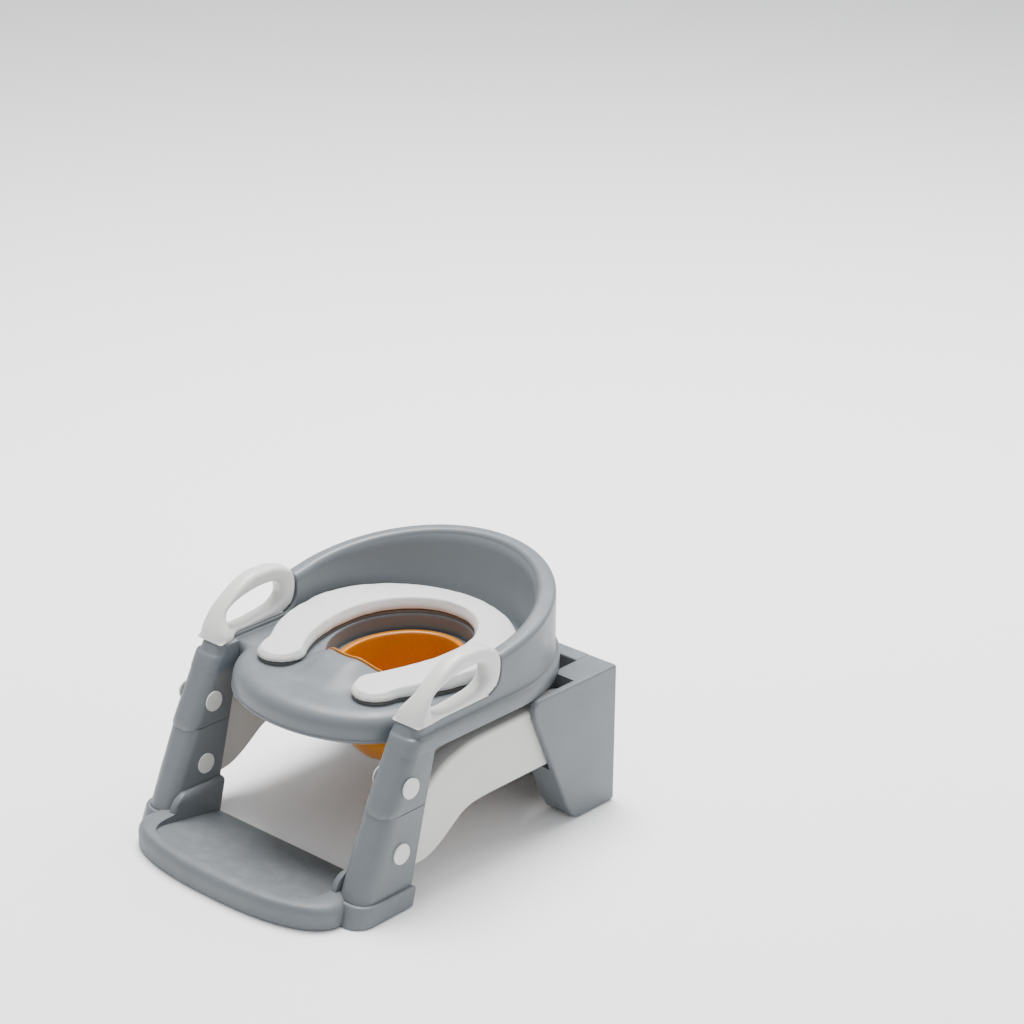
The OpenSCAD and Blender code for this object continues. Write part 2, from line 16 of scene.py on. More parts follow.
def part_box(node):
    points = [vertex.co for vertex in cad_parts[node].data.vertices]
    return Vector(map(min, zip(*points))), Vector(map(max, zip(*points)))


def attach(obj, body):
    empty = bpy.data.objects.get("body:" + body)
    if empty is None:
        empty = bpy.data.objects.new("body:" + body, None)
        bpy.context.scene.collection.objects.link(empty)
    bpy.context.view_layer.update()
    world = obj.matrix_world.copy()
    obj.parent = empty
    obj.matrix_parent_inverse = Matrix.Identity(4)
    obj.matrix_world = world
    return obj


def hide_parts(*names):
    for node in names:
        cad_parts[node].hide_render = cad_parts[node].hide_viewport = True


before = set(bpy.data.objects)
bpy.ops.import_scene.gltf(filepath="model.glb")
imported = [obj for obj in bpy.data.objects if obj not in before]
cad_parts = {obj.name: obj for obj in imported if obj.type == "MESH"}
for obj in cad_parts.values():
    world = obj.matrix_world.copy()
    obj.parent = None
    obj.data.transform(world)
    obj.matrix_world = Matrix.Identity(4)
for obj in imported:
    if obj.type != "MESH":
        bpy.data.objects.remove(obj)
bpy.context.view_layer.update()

bl_info = {
    "name": "Potty Training Chair",
    "version": (1, 0, 0),
    "blender": (4, 5, 0),
    "location": "View3D > Sidebar > Potty Chair",
    "description": "Builds the shells, handles, cushion, pot and finishes of a potty training chair",
    "category": "Object",
}

MM = 0.001
LEG_LINE_Y = 45.0  # the front leg line lies this far ahead of the frame's middle

# ---- sizes shared by the pieces, in millimetres ----
SEAT_LOW = 174.0
DECK_Z = 199.0
SHOULDER_Z = 204.0
HOLE_Y = 106.0
HOLE_A, HOLE_B = 78.0, 90.0
SEAT_Y = 112.0
WALL_A, WALL_REAR = 171.0, 173.0
BAND_A, BAND_REAR = 176.0, 178.0
WALL_T = 20.0
LEAN_REAR, LEAN_SIDE = 26.0, 4.0
RIM_Y, RIM_Z, RIM_SLOPE = 106.0, 248.0, math.tan(math.radians(10.5))
LEG_IN, LEG_OUT = 132.5, 176.0
LEG_JOINT = 114.0
# front face at the floor, and its run per millimetre of height below and above the joint
FRONT_Y, FRONT_LOW, FRONT_HIGH = -142.5, 0.42, 0.53
STEP_HALF = 184.0
GRIP_Y, GRIP_RISE = 30.0, 62.0
UPPER_BOLT = (-61.0, 142.0)
KNEE = (-76.0, 69.0)
ANKLE = (191.0, 121.0)
KNEE_ROUND, ANKLE_ROUND = 29.0, 39.0
FOLD_IN, FOLD_OUT = 145.2, 170.8
CHEEK_IN, CHEEK_OUT = 138.0, 180.0
HEX_ROW = 0.866  # spacing of the rows of dots, as a share of their pitch


def front_at(z):
    """Front face of a front leg at height z."""
    return FRONT_Y + min(z, LEG_JOINT) * FRONT_LOW + max(z - LEG_JOINT, 0.0) * FRONT_HIGH


def rear_at(z):
    """Rear face of a front leg at height z."""
    return -64.0 + z * 43.0 / 174.0


def rim_at(y):
    """Height of the wall's rim over y."""
    return RIM_Z + (y - RIM_Y) * RIM_SLOPE


def placed(points):
    """Millimetres from the leg line to metres in the part's frame."""
    p = np.array(points, float).reshape(-1, 3).copy()
    p[:, 1] -= LEG_LINE_Y
    return p * MM


def smooth(t):
    """Smooth step of t from 0 to 1, for numbers and arrays."""
    t = np.clip(t, 0.0, 1.0)
    return t * t * (3.0 - 2.0 * t)


# ---- finishes by name, filled by make_finishes ----
MATERIALS = {}


# ---- mesh making ----
def new_object(name, points, faces, weld=0.0):
    """A mesh object from millimetre points, with its normals facing out and near points joined."""
    mesh = bpy.data.meshes.new(name)
    mesh.from_pydata([tuple(p) for p in placed(points)], [], [tuple(f) for f in faces])
    piece = bpy.data.objects.new(name, mesh)
    bpy.context.scene.collection.objects.link(piece)
    bm = bmesh.new()
    bm.from_mesh(mesh)
    if weld:
        bmesh.ops.remove_doubles(bm, verts=bm.verts, dist=weld)
    bmesh.ops.recalc_face_normals(bm, faces=bm.faces)
    bm.to_mesh(mesh)
    bm.free()
    return piece


def add_piece(name, points, faces, body, finish, replaces=(), flat_angle=None):
    """A new mesh piece from millimetre points, riding on a body of the frame."""
    piece = new_object(name, points, faces, 1e-6)
    finish_piece(piece, body, finish, replaces, flat_angle)
    return piece


def finish_piece(piece, body, finish, replaces=(), flat_angle=None):
    """Shading, material, slot and body of a piece."""
    mesh = piece.data
    mesh.polygons.foreach_set("use_smooth", [True] * len(mesh.polygons))
    if flat_angle is not None:
        mesh.set_sharp_from_angle(angle=math.radians(flat_angle))
    mesh.materials.clear()
    mesh.materials.append(MATERIALS[finish])
    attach(piece, body)
    if replaces:
        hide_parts(*replaces)
    mesh.update()


def grid_faces(rows, columns, closed_rows=False, closed_columns=True):
    """Quads of a grid of points stored row by row."""
    faces = []
    for i in range(rows if closed_rows else rows - 1):
        for j in range(columns if closed_columns else columns - 1):
            a, b = i * columns, ((i + 1) % rows) * columns
            k = (j + 1) % columns
            faces.append((a + j, a + k, b + k, b + j))
    return faces


def ring_solid(rings):
    """Closed solid through closed rings of equal length, capped at both ends with fans."""
    rings = np.array(rings, float)
    rows, columns = rings.shape[:2]
    points = rings.reshape(-1, 3)
    faces = grid_faces(rows, columns)
    start, end = points[:columns].mean(0), points[-columns:].mean(0)
    first, last = len(points), len(points) + 1
    points = np.vstack([points, start, end])
    for j in range(columns):
        k = (j + 1) % columns
        faces.append((first, k, j))
        faces.append((last, (rows - 1) * columns + j, (rows - 1) * columns + k))
    return points, faces


def rounded_rectangle(x0, x1, y0, y1, radii, steps=6):
    """Corner points of a rectangle with its own radius at each corner, anticlockwise from x1, y0."""
    corners = [(x1, y0, -90), (x1, y1, 0), (x0, y1, 90), (x0, y0, 180)]
    out = []
    for (cx, cy, start), r in zip(corners, radii):
        sx = -1 if cx == x1 else 1
        sy = 1 if cy == y0 else -1
        for i in range(steps + 1):
            a = math.radians(start + 90 * i / steps)
            out.append((cx + sx * r + r * math.cos(a), cy + sy * r + r * math.sin(a)))
    return out


def mirrored(points, side):
    """Points for the left (+1) or the right (-1) of the chair."""
    p = np.array(points, float).reshape(-1, 3).copy()
    p[:, 0] *= side
    return p


# ---- finishes ----
def linear(red, green, blue):
    """Linear colour of an 8-bit screen colour, with alpha."""
    return tuple(
        c / 12.92 if c <= 0.04045 else ((c + 0.055) / 1.055) ** 2.4
        for c in (red / 255, green / 255, blue / 255)
    ) + (1.0,)


class Group:
    """A shader node group in the making: float inputs with defaults, and float outputs."""

    def __init__(self, name, inputs, outputs):
        self.tree = bpy.data.node_groups.new(name, "ShaderNodeTree")
        for label, value in inputs.items():
            socket = self.tree.interface.new_socket(
                label, in_out="INPUT", socket_type="NodeSocketFloat"
            )
            socket.default_value = value
        for label in outputs:
            self.tree.interface.new_socket(
                label, in_out="OUTPUT", socket_type="NodeSocketFloat"
            )
        self.given = self.tree.nodes.new("NodeGroupInput").outputs
        self.made = self.tree.nodes.new("NodeGroupOutput").inputs

    def node(self, kind, settings=None, **sockets):
        return make_node(self.tree, kind, settings, **sockets)

    def link(self, a, b):
        self.tree.links.new(a, b)


def make_node(tree, kind, settings=None, **sockets):
    """A node with its settings, and its inputs set or linked by name (underscores stand for spaces)."""
    node = tree.nodes.new(kind)
    for key, value in (settings or {}).items():
        setattr(node, key, value)
    for key, value in sockets.items():
        numbered = key[0] == "i" and key[1:].isdigit()
        socket = node.inputs[int(key[1:]) if numbered else key.replace("_", " ")]
        if isinstance(value, bpy.types.NodeSocket):
            tree.links.new(value, socket)
        else:
            socket.default_value = value
    return node


def maths(tree, operation, a, b=0.0, clamp=False):
    """Output of a Math node."""
    return make_node(
        tree, "ShaderNodeMath", {"operation": operation, "use_clamp": clamp}, i0=a, i1=b
    ).outputs[0]


def ranged(tree, value, low, high, to_low, to_high):
    """Output of a Map Range node."""
    node = make_node(
        tree,
        "ShaderNodeMapRange",
        {"interpolation_type": "SMOOTHSTEP"},
        Value=value,
        From_Min=low,
        From_Max=high,
        To_Min=to_low,
        To_Max=to_high,
    )
    return node.outputs[0]


def object_place(tree):
    return tree.nodes.new("ShaderNodeTexCoord").outputs["Object"]


def noise(tree, vector, scale, detail=3.0, rough=0.55):
    node = make_node(
        tree, "ShaderNodeTexNoise", None, Vector=vector, Scale=scale, Detail=detail, Roughness=rough
    )
    return node.outputs["Fac"]


def grain_group():
    """Fine pitted grain of moulded plastic, with slow flow marks."""
    g = Group("Moulded grain", {"Pits per metre": 900.0}, ["Height", "Shade", "Gloss"])
    t, place = g.tree, object_place(g.tree)
    fine = noise(t, place, g.given["Pits per metre"], 2.0, 0.6)
    pits = make_node(
        t, "ShaderNodeTexVoronoi", None, Vector=place, Scale=g.given["Pits per metre"]
    ).outputs["Distance"]
    g.link(
        maths(t, "ADD", maths(t, "MULTIPLY", fine, 0.6), maths(t, "MULTIPLY", pits, 0.4)), g.made["Height"]
    )
    slow = noise(t, place, 7.0, 3.0)
    middle = noise(t, place, 60.0, 4.0)
    g.link(
        maths(t, "ADD", maths(t, "MULTIPLY", slow, 0.65), maths(t, "MULTIPLY", middle, 0.35)),
        g.made["Shade"],
    )
    g.link(noise(t, place, 26.0, 5.0, 0.65), g.made["Gloss"])
    return g.tree


def wear_group():
    """Rubbed, lighter edges where the surface turns outwards."""
    g = Group("Edge wear", {"Reach": 0.5}, ["Mask"])
    t = g.tree
    turn = t.nodes.new("ShaderNodeNewGeometry").outputs["Pointiness"]
    edge = ranged(t, turn, 0.515, 0.62, 0.0, 1.0)
    patch = ranged(t, noise(t, object_place(t), 95.0, 6.0, 0.7), 0.35, 0.7, 0.2, 1.0)
    g.link(maths(t, "MULTIPLY", maths(t, "MULTIPLY", edge, patch), g.given["Reach"], True), g.made["Mask"])
    return g.tree


def dust_group():
    """Fine dust that settles on faces that look up."""
    g = Group("Settled dust", {"Amount": 0.3}, ["Mask"])
    t = g.tree
    normal = t.nodes.new("ShaderNodeNewGeometry").outputs["Normal"]
    up = make_node(t, "ShaderNodeSeparateXYZ", None, Vector=normal).outputs["Z"]
    facing = ranged(t, up, 0.55, 1.0, 0.0, 1.0)
    patch = ranged(t, noise(t, object_place(t), 33.0, 7.0, 0.7), 0.42, 0.72, 0.0, 1.0)
    g.link(maths(t, "MULTIPLY", maths(t, "MULTIPLY", facing, patch), g.given["Amount"], True), g.made["Mask"])
    return g.tree


def leather_group():
    """Soft creased grain of coated fabric."""
    g = Group("Leather grain", {"Cells per metre": 620.0}, ["Height", "Shade"])
    t, place = g.tree, object_place(g.tree)
    bend = make_node(t, "ShaderNodeTexNoise", None, Vector=place, Scale=140.0, Detail=2.0).outputs["Color"]
    pushed = make_node(
        t, "ShaderNodeVectorMath", {"operation": "MULTIPLY_ADD"}, i0=bend, i1=(0.004,) * 3, i2=place
    ).outputs[0]
    cells = make_node(
        t,
        "ShaderNodeTexVoronoi",
        {"feature": "DISTANCE_TO_EDGE"},
        Vector=pushed,
        Scale=g.given["Cells per metre"],
    ).outputs["Distance"]
    crease = ranged(t, cells, 0.0, 0.16, 0.0, 1.0)
    g.link(
        maths(t, "ADD", maths(t, "MULTIPLY", crease, 0.8), maths(t, "MULTIPLY", noise(t, place, 45.0), 0.5)),
        g.made["Height"],
    )
    g.link(noise(t, place, 16.0, 4.0), g.made["Shade"])
    return g.tree


def effect(tree, name, value):
    """A shared effect placed in a material, with its one input set."""
    node = tree.nodes.new("ShaderNodeGroup")
    node.node_tree = bpy.data.node_groups[name]
    node.inputs[0].default_value = value
    return node.outputs


def tinted(tree, factor, a, b):
    """Colour between a and b."""
    node = make_node(tree, "ShaderNodeMix", {"data_type": "RGBA"})
    sockets = {s.identifier: s for s in node.inputs}
    for key, value in (("Factor_Float", factor), ("A_Color", a), ("B_Color", b)):
        if isinstance(value, bpy.types.NodeSocket):
            tree.links.new(value, sockets[key])
        else:
            sockets[key].default_value = value
    return [s for s in node.outputs if s.identifier == "Result_Color"][0]


def scaled(colour, share):
    return tuple(c * share for c in colour[:3]) + (1.0,)


def make_plastic(
    name, colour, rough, pits, bump, wear=0.3, dust=0.25, spread=0.07, coat=0.0, skin="Moulded grain"
):
    """A moulded plastic or rubber with grain, flow marks, rubbed edges and dust."""
    material = bpy.data.materials.new(name)
    material.use_nodes = True
    material.diffuse_color = colour
    t = material.node_tree
    shader = t.nodes["Principled BSDF"]
    skin_out = effect(t, skin, pits)
    base = tinted(t, skin_out["Shade"], scaled(colour, 1 - spread), scaled(colour, 1 + spread))
    worn = effect(t, "Edge wear", wear)["Mask"]
    base = tinted(t, worn, base, tuple(min(1.0, c * 1.12 + 0.05) for c in colour[:3]) + (1.0,))
    dusty = effect(t, "Settled dust", dust)["Mask"]
    base = tinted(t, dusty, base, tuple(0.75 * c + 0.13 for c in colour[:3]) + (1.0,))
    t.links.new(base, shader.inputs["Base Color"])
    gloss = skin_out["Gloss"] if skin == "Moulded grain" else skin_out["Shade"]
    rough_out = ranged(t, gloss, 0.3, 0.7, max(0.03, rough - 0.06), rough + 0.06)
    rough_out = maths(t, "ADD", rough_out, maths(t, "MULTIPLY", dusty, 0.25))
    rough_out = maths(t, "SUBTRACT", rough_out, maths(t, "MULTIPLY", worn, 0.08), True)
    t.links.new(rough_out, shader.inputs["Roughness"])
    shader.inputs["Coat Weight"].default_value = coat
    shader.inputs["Coat Roughness"].default_value = 0.12
    grain = make_node(t, "ShaderNodeBump", None, Strength=bump, Distance=0.0003, Height=skin_out["Height"])
    t.links.new(grain.outputs["Normal"], shader.inputs["Normal"])
    return material


def make_steel(name):
    """Turned steel with fine rings along its axis."""
    material = bpy.data.materials.new(name)
    material.use_nodes = True
    t = material.node_tree
    shader = t.nodes["Principled BSDF"]
    shader.inputs["Metallic"].default_value = 1.0
    skin_out = effect(t, "Moulded grain", 1500.0)
    t.links.new(
        tinted(t, skin_out["Shade"], (0.42, 0.43, 0.44, 1), (0.62, 0.62, 0.63, 1)),
        shader.inputs["Base Color"],
    )
    turned = make_node(
        t,
        "ShaderNodeTexWave",
        {"bands_direction": "X"},
        Scale=500.0,
        Distortion=1.5,
        Vector=object_place(t),
    )
    t.links.new(ranged(t, skin_out["Gloss"], 0.3, 0.7, 0.22, 0.42), shader.inputs["Roughness"])
    bump = make_node(t, "ShaderNodeBump", None, Strength=0.15, Distance=0.0001, Height=turned.outputs["Fac"])
    t.links.new(bump.outputs["Normal"], shader.inputs["Normal"])
    return material


def make_finishes(colours):
    """All shared effects and materials."""
    for build in (grain_group, wear_group, dust_group, leather_group):
        build()
    shell = linear(*(255 * c for c in colours.shell))
    white = linear(*(255 * c for c in colours.white_parts))
    MATERIALS.update(
        shell=make_plastic("Grey moulded plastic", shell, 0.42, 900.0, 0.22),
        tread=make_plastic("Grey moulded plastic, matt", scaled(shell, 0.95), 0.55, 600.0, 0.4, dust=0.35),
        white=make_plastic(
            "White moulded plastic", white, 0.34, 900.0, 0.12, wear=0.1, dust=0.12, spread=0.03
        ),
        legs=make_plastic(
            "Milky plastic", linear(
                *(255 * c for c in colours.folding_legs)
            ), 0.4, 800.0, 0.15, wear=0.12, dust=0.12, spread=0.04
        ),
        pot=make_plastic(
            "Amber plastic", linear(
                *(255 * c for c in colours.pot)
            ), 0.3, 700.0, 0.05, wear=0.25, dust=0.05, spread=0.06, coat=0.35
        ),
        skin=make_plastic(
            "White coated fabric",
            linear(*(255 * c for c in colours.cushion)),
            0.48,
            520.0,
            0.3,
            wear=0.0,
            dust=0.15,
            spread=0.035,
            skin="Leather grain",
        ),
        thread=make_plastic(
            "White thread", linear(214, 212, 206), 0.8, 2500.0, 0.5, wear=0.0, dust=0.0, spread=0.1
        ),
        # painted shade: the cushion board is coloured dark to stand in for the shadow in the thin gap under
        # the cushion's tips
        board=make_plastic("Dark board", linear(86, 86, 84), 0.5, 700.0, 0.2, dust=0.1, spread=0.05),
        bush=make_plastic("Dark bush plastic", linear(70, 72, 75), 0.5, 900.0, 0.2, spread=0.12),
        rubber=make_plastic(
            "Black rubber", linear(30, 31, 33), 0.7, 1100.0, 0.45, wear=0.15, dust=0.5, spread=0.2
        ),
        steel=make_steel("Turned steel"),
    )


# ---- seat ----
def reach(outline, centre, angles):
    """Distance from the centre to a closed outline along each angle."""
    p = np.array(outline, float) - centre
    q = np.roll(p, -1, axis=0)
    out = []
    for a in angles:
        d = np.array([math.cos(a), math.sin(a)])
        n = np.array([-d[1], d[0]])
        s, t = p @ n, q @ n
        crossing = (s * t <= 0) & (np.abs(s - t) > 1e-9)
        share = np.where(crossing, s / np.where(crossing, s - t, 1), 0)
        along = (p + (q - p) * share[:, None]) @ d
        out.append(along[crossing & (along > 0)].max())
    return np.array(out)


def guard_rise(x, y, height):
    """Height of the splash guard's hump above the deck at x, y."""
    across = smooth((56.0 - np.abs(x)) / 40.0)
    along = smooth((y + 46.0) / 60.0) * smooth((72.0 - y) / 30.0)
    return height * across * along


def deck_outline():
    """Outer edge of the deck: under the wall at the sides and rear, the rounded nose in front."""
    rear = [(154 * math.cos(a), SEAT_Y + 134 * math.sin(a)) for a in np.linspace(0, math.pi, 60)]
    nose = [
        (
            131 * math.cos(a), -4 + 88 * math.sin(a)
        ) for a in np.linspace(math.radians(189), math.radians(351), 90)
    ]
    return rear + [(-154, -16), (-134, -18)] + nose + [(134, -18), (154, -16)]


def build_deck(sizes):
    """Deck with its opening, splash guard, rounded nose with a beaded edge, and the skirt round the pot."""
    columns = 240
    angles = np.linspace(0, 2 * math.pi, columns, endpoint=False)
    centre = np.array([0.0, HOLE_Y])
    c, s = np.cos(angles), np.sin(angles)
    hole = 1 / np.sqrt((c / HOLE_A) ** 2 + (s / HOLE_B) ** 2)
    outer = reach(deck_outline(), centre, angles)
    nose = smooth((-12.0 - (HOLE_Y + outer * s)) / 10.0)
    low, roll, bead, shell = SEAT_LOW - 6, 24.0, sizes.bead / MM, 3.0
    rows = []

    def row(radius, height, rise=0.0):
        x, y = radius * c, HOLE_Y + radius * s
        lift = guard_rise(x, y, sizes.guard_height / MM) * rise
        rows.append(np.stack([x, y, height + lift], -1))

    def between(front, rear):
        return nose * front + (1 - nose) * rear

    for height, rise in ((SEAT_LOW, 0.0), (184.0, 0.3), (192.0, 0.7), (196.0, 0.95)):
        row(hole, height, rise)
    for inset, drop in ((0.3, 1.6), (1.0, 0.6), (2.2, 0.12)):
        row(hole + inset, DECK_Z - drop, 1.0)
    edge = hole + 3.4
    inner_edge = outer - between(roll, 0.0)
    for share in np.linspace(0, 1, 26):
        row(edge + (inner_edge - edge) * share, DECK_Z + 0 * hole, 1.0)
    for turn in np.radians(np.linspace(7, 90, 16)):
        front = low + 31.0 * np.sqrt(max(math.cos(turn), 0.0))
        drop = (1 - math.cos(turn)) * 3.0
        height = between(max(front, low + 4.6), DECK_Z - drop)
        row(outer - between(roll * (1 - math.sin(turn)), 0.0), height, 1 - turn / 1.6)
    for out, height in (
        (0.1, 4.2), (bead * 0.7, 3.7), (bead, 2.4), (bead * 0.8, 0.9), (-0.4, 0.0), (-2.6, 0.2), (-3.4, 3.0)
    ):
        row(outer + between(out, -0.2), between(low + height, 196.0))
    for inset, height in ((3.6, 178.0), (7.0, 188.0), (14.0, 193.5), (26.0, 196.0)):
        row(outer - between(inset, 0.6 + inset * 0.1), between(height, 196.0))
    row(hole + 5.0, 196.0 + 0 * hole)
    row(hole + shell, 194.0 + 0 * hole)
    row(hole + shell, SEAT_LOW + 0.6 + 0 * hole)
    row(hole + shell - 0.6, SEAT_LOW + 0 * hole)
    points = np.array(rows).reshape(-1, 3)
    faces = grid_faces(len(rows), columns, closed_rows=True)
    add_piece("seat_deck", points, faces, "seat_frame", "shell", ("seat_shell",))
    ledge = []
    for inset, height in (
        (0.0, 178.0), (HOLE_A - 68.0, 178.0), (HOLE_A - 68.0, 175.2), (-1.0, 175.2), (-1.0, 178.0)
    ):
        ledge.append(np.stack([(hole - inset) * c, HOLE_Y + (hole - inset) * s, height + 0 * hole], -1))
    points = np.array(ledge).reshape(-1, 3)
    faces = grid_faces(len(ledge), columns, closed_rows=True)
    add_piece("pot_ledge", points, faces, "seat_frame", "shell", ("seat_shell",), 40)


def wall_stations():
    """Places along the wall from the right end round the back to the left end: y, rim height, angle."""
    side = [
        (-30, SHOULDER_Z), (-20, SHOULDER_Z), (0, SHOULDER_Z), (20, SHOULDER_Z), (40, SHOULDER_Z),
        (56, SHOULDER_Z),
    ]
    side += [
        (64, 204.1), (68, 204.6), (72, 205.8), (76, 208.0), (80, 211.0), (83, 214.2), (85.4, 218.4),
        (87, 224.0),
    ]
    side += [(87.8, 231.0), (88.0, 237.0), (88.2, 241.5), (88.8, 244.2)]
    side += [(y, rim_at(y)) for y in (90, 93, 97, 102, 107)]
    arc = [(SEAT_Y, math.radians(a)) for a in np.linspace(0, 180, 97)]
    return side, arc


def build_wall(sizes):
    """Double wall with its rounded rim, its leaning inner face, and the band round its foot."""
    side, arc = wall_stations()
    round_top = sizes.rim_round / MM

    def outline(a, rear):
        right = [(a - 0.4 * (y < -20.5), y) for y, _ in side]
        bow = [(a * math.cos(t), SEAT_Y + rear * math.sin(t)) for _, t in arc]
        return np.array(right + bow + [(-x, y) for x, y in right[::-1]])

    plain = outline(WALL_A, WALL_REAR)
    rims = [h for _, h in side]
    rims = np.array(rims + [rim_at(SEAT_Y + WALL_REAR * math.sin(t)) for _, t in arc] + rims[::-1], float)
    tall = np.clip((rims - SHOULDER_Z) / 30.0, 0, 1)
    fillet = 2.0 + 5.0 * tall
    rounding = 2.2 + (round_top - 2.2) * tall
    top_in = (WALL_A - WALL_T, WALL_REAR - WALL_T)

    def inner(height):
        tuck = 1 - np.clip((height - DECK_Z) / 84.0, 0, 1)
        near = outline(top_in[0] - LEAN_SIDE, top_in[1] - LEAN_REAR)
        far = outline(*top_in)
        return far + (near - far) * tuck[:, None]

    def shifted(line, distance):
        flat = np.roll(line, -1, axis=0) - np.roll(line, 1, axis=0)
        flat[0], flat[-1] = (0, 1), (0, -1)
        flat[1 : len(side) - 1] = (0, 1)
        flat[-len(side) + 1 : -1] = (0, -1)
        flat /= np.linalg.norm(flat, axis=1)[:, None]
        normal = np.stack([flat[:, 1], -flat[:, 0]], -1)
        return line + normal * np.broadcast_to(distance, len(line))[:, None]

    rows = []

    def row(line, height):
        rows.append(np.column_stack([line, np.broadcast_to(height, len(line))]))

    foot = inner(np.full(len(plain), DECK_Z))
    row(shifted(foot, -fillet - 0.6), 197.6)
    row(shifted(foot, -fillet), 199.06)
    row(shifted(foot, -fillet * 0.45), DECK_Z + fillet * 0.13)
    row(shifted(inner(DECK_Z + fillet * 0.45), -fillet * 0.12), DECK_Z + fillet * 0.45)
    start = DECK_Z + fillet
    end = np.maximum(rims - rounding, start + 0.2)
    for share in np.linspace(0, 1, 9):
        height = start + (end - start) * share
        row(inner(height), height)
    top = inner(rims)
    for turn in np.radians(np.linspace(12, 90, 8)):
        out, up = rounding * (1 - math.cos(turn)), rounding * math.sin(turn)
        row(shifted(top, out), np.maximum(rims - rounding + up, start + 0.25))
    for turn in np.radians(np.linspace(90, 0, 9)):
        out, up = rounding * (1 - math.cos(turn)), rounding * math.sin(turn)
        row(shifted(plain, -out), rims - rounding + up)
    for share in (0.35, 0.7):
        row(plain, (rims - rounding) * (1 - share) + 194.0 * share)
    band = outline(BAND_A, BAND_REAR)
    row(plain, 194.0)
    row(shifted(plain, 0.25), 192.9)
    row(shifted(plain, 1.1), 192.15)
    row(shifted(plain, 3.4), 191.9)
    row(shifted(plain, 4.4), 191.5)
    row(band, 190.4)
    row(band, 183.0)
    row(band, 175.4)
    row(shifted(band, -0.4), 174.4)
    row(shifted(band, -1.4), SEAT_LOW)
    row(shifted(band, -2.8), 174.1)
    row(shifted(band, -3.0), 175.4)
    row(shifted(band, -3.0), 187.0)
    row(shifted(band, -9.0), 189.0)
    row(shifted(foot, 5.0), 189.5)
    row(shifted(foot, -fillet - 0.6), 196.2)
    points, faces = ring_solid(np.array(rows).transpose(1, 0, 2))
    add_piece("seat_wall", points, faces, "seat_frame", "shell", ("seat_shell",), 55)


# ---- front legs ----
def leg_ring(z, front, rear, x0, x1, radii, inset=0.0):
    """One ring of a leg: a rectangle with its own corner radii, in plan."""
    radii = [max(0.3, r - inset * 0.5) for r in radii]
    flat = rounded_rectangle(x0 + inset, x1 - inset, front + inset, rear - inset, radii, 7)
    return [(x, y, z) for x, y in flat]


def build_upper_leg(side, word, sizes):
    """Upper front leg under the seat, with the lip that laps over the lower leg."""
    rings = []
    for z, inset in ((128.0, 3.2), (116.0, 3.2), (114.2, 2.6), (113.9, 0.7), (114.8, 0.0)):
        rings.append(leg_ring(z, front_at(z), rear_at(z), LEG_IN, LEG_OUT, (16, 3, 3, 13), inset))
    for z in (122.0, 132.0, 142.0, 152.0, 160.0, 166.0, 170.0, 173.2):
        rings.append(leg_ring(z, front_at(z), rear_at(z), LEG_IN, LEG_OUT, (16, 3, 3, 13)))
    rings.append(leg_ring(173.9, front_at(173.9), rear_at(173.9), LEG_IN, LEG_OUT, (16, 1, 1, 13)))
    for z, out in (
        (174.1, 0.0),
        (180.0, 0.0),
        (186.0, 0.0),
        (190.4, 0.2),
        (191.4, 1.3),
        (192.0, 2.9),
        (193.0, 3.9),
        (196.0, 4.2),
        (200.0, 4.3),
        (202.3, 4.4),
    ):
        rings.append(leg_ring(z, front_at(z) + 0.5 * out, -19.8, LEG_IN, LEG_OUT - out, (14, 1, 1, 12)))
    rings.append(leg_ring(203.4, front_at(203.4) + 2.6, -19.8, LEG_IN + 0.2, LEG_OUT - 4.9, (13, 1, 1, 11)))
    rings.append(leg_ring(203.95, front_at(204) + 3.6, -19.8, LEG_IN + 1.0, LEG_OUT - 6.0, (12, 1, 1, 10)))
    rings = np.array(rings)
    middle = (LEG_IN + LEG_OUT) / 2
    for ring in rings[1:6]:
        near = smooth((front_at(114) + 9 - ring[:, 1]) / 9)
        bow = 1 - ((ring[:, 0] - middle) / (LEG_OUT - middle)) ** 2
        ring[:, 2] -= sizes.lip_drop / MM * near * np.clip(bow, 0, 1)
    points, faces = ring_solid(rings)
    leg = add_piece(
        f"upper_leg_{word}", mirrored(points, side), faces, "seat_frame", "shell", ("seat_shell",), 50
    )
    hollow_leg(leg, side)


def build_lower_leg(side, word):
    """Lower front leg with its broad softened edge, and the tongue that goes up into the upper leg."""
    rings = []
    for z in (
        1.0, 1.8, 12.0, 24.0, 34.0, 44.0, 54.0, 62.0, 70.0, 78.0, 86.0, 94.0, 101.0, 107.0, 111.0, 113.6
    ):
        tuck = 2.2 * smooth((z - 62) / 44)
        edge = 18.0 - 2.0 * smooth((z - 74) / 26)
        inset = 0.8 if z == 1.0 else 0.0
        outer = LEG_OUT - 0.06 * smooth((z - 90) / 20)
        rings.append(
            leg_ring(z, front_at(z) + tuck, rear_at(z), LEG_IN + 0.06, outer, (edge, 3, 3, 12), inset)
        )
    for z in (114.0, 165.0):
        rings.append(
            leg_ring(z, front_at(z) + 6.4, rear_at(z) - 3.2, LEG_IN + 3.3, LEG_OUT - 3.3, (3, 1, 1, 3))
        )
    points, faces = ring_solid(rings)
    leg = add_piece(
        f"lower_leg_shell_{word}",
        mirrored(points, side),
        faces,
        "seat_frame",
        "shell",
        (f"lower_leg_{word}",),
        50,
    )
    hollow_leg(leg, side)


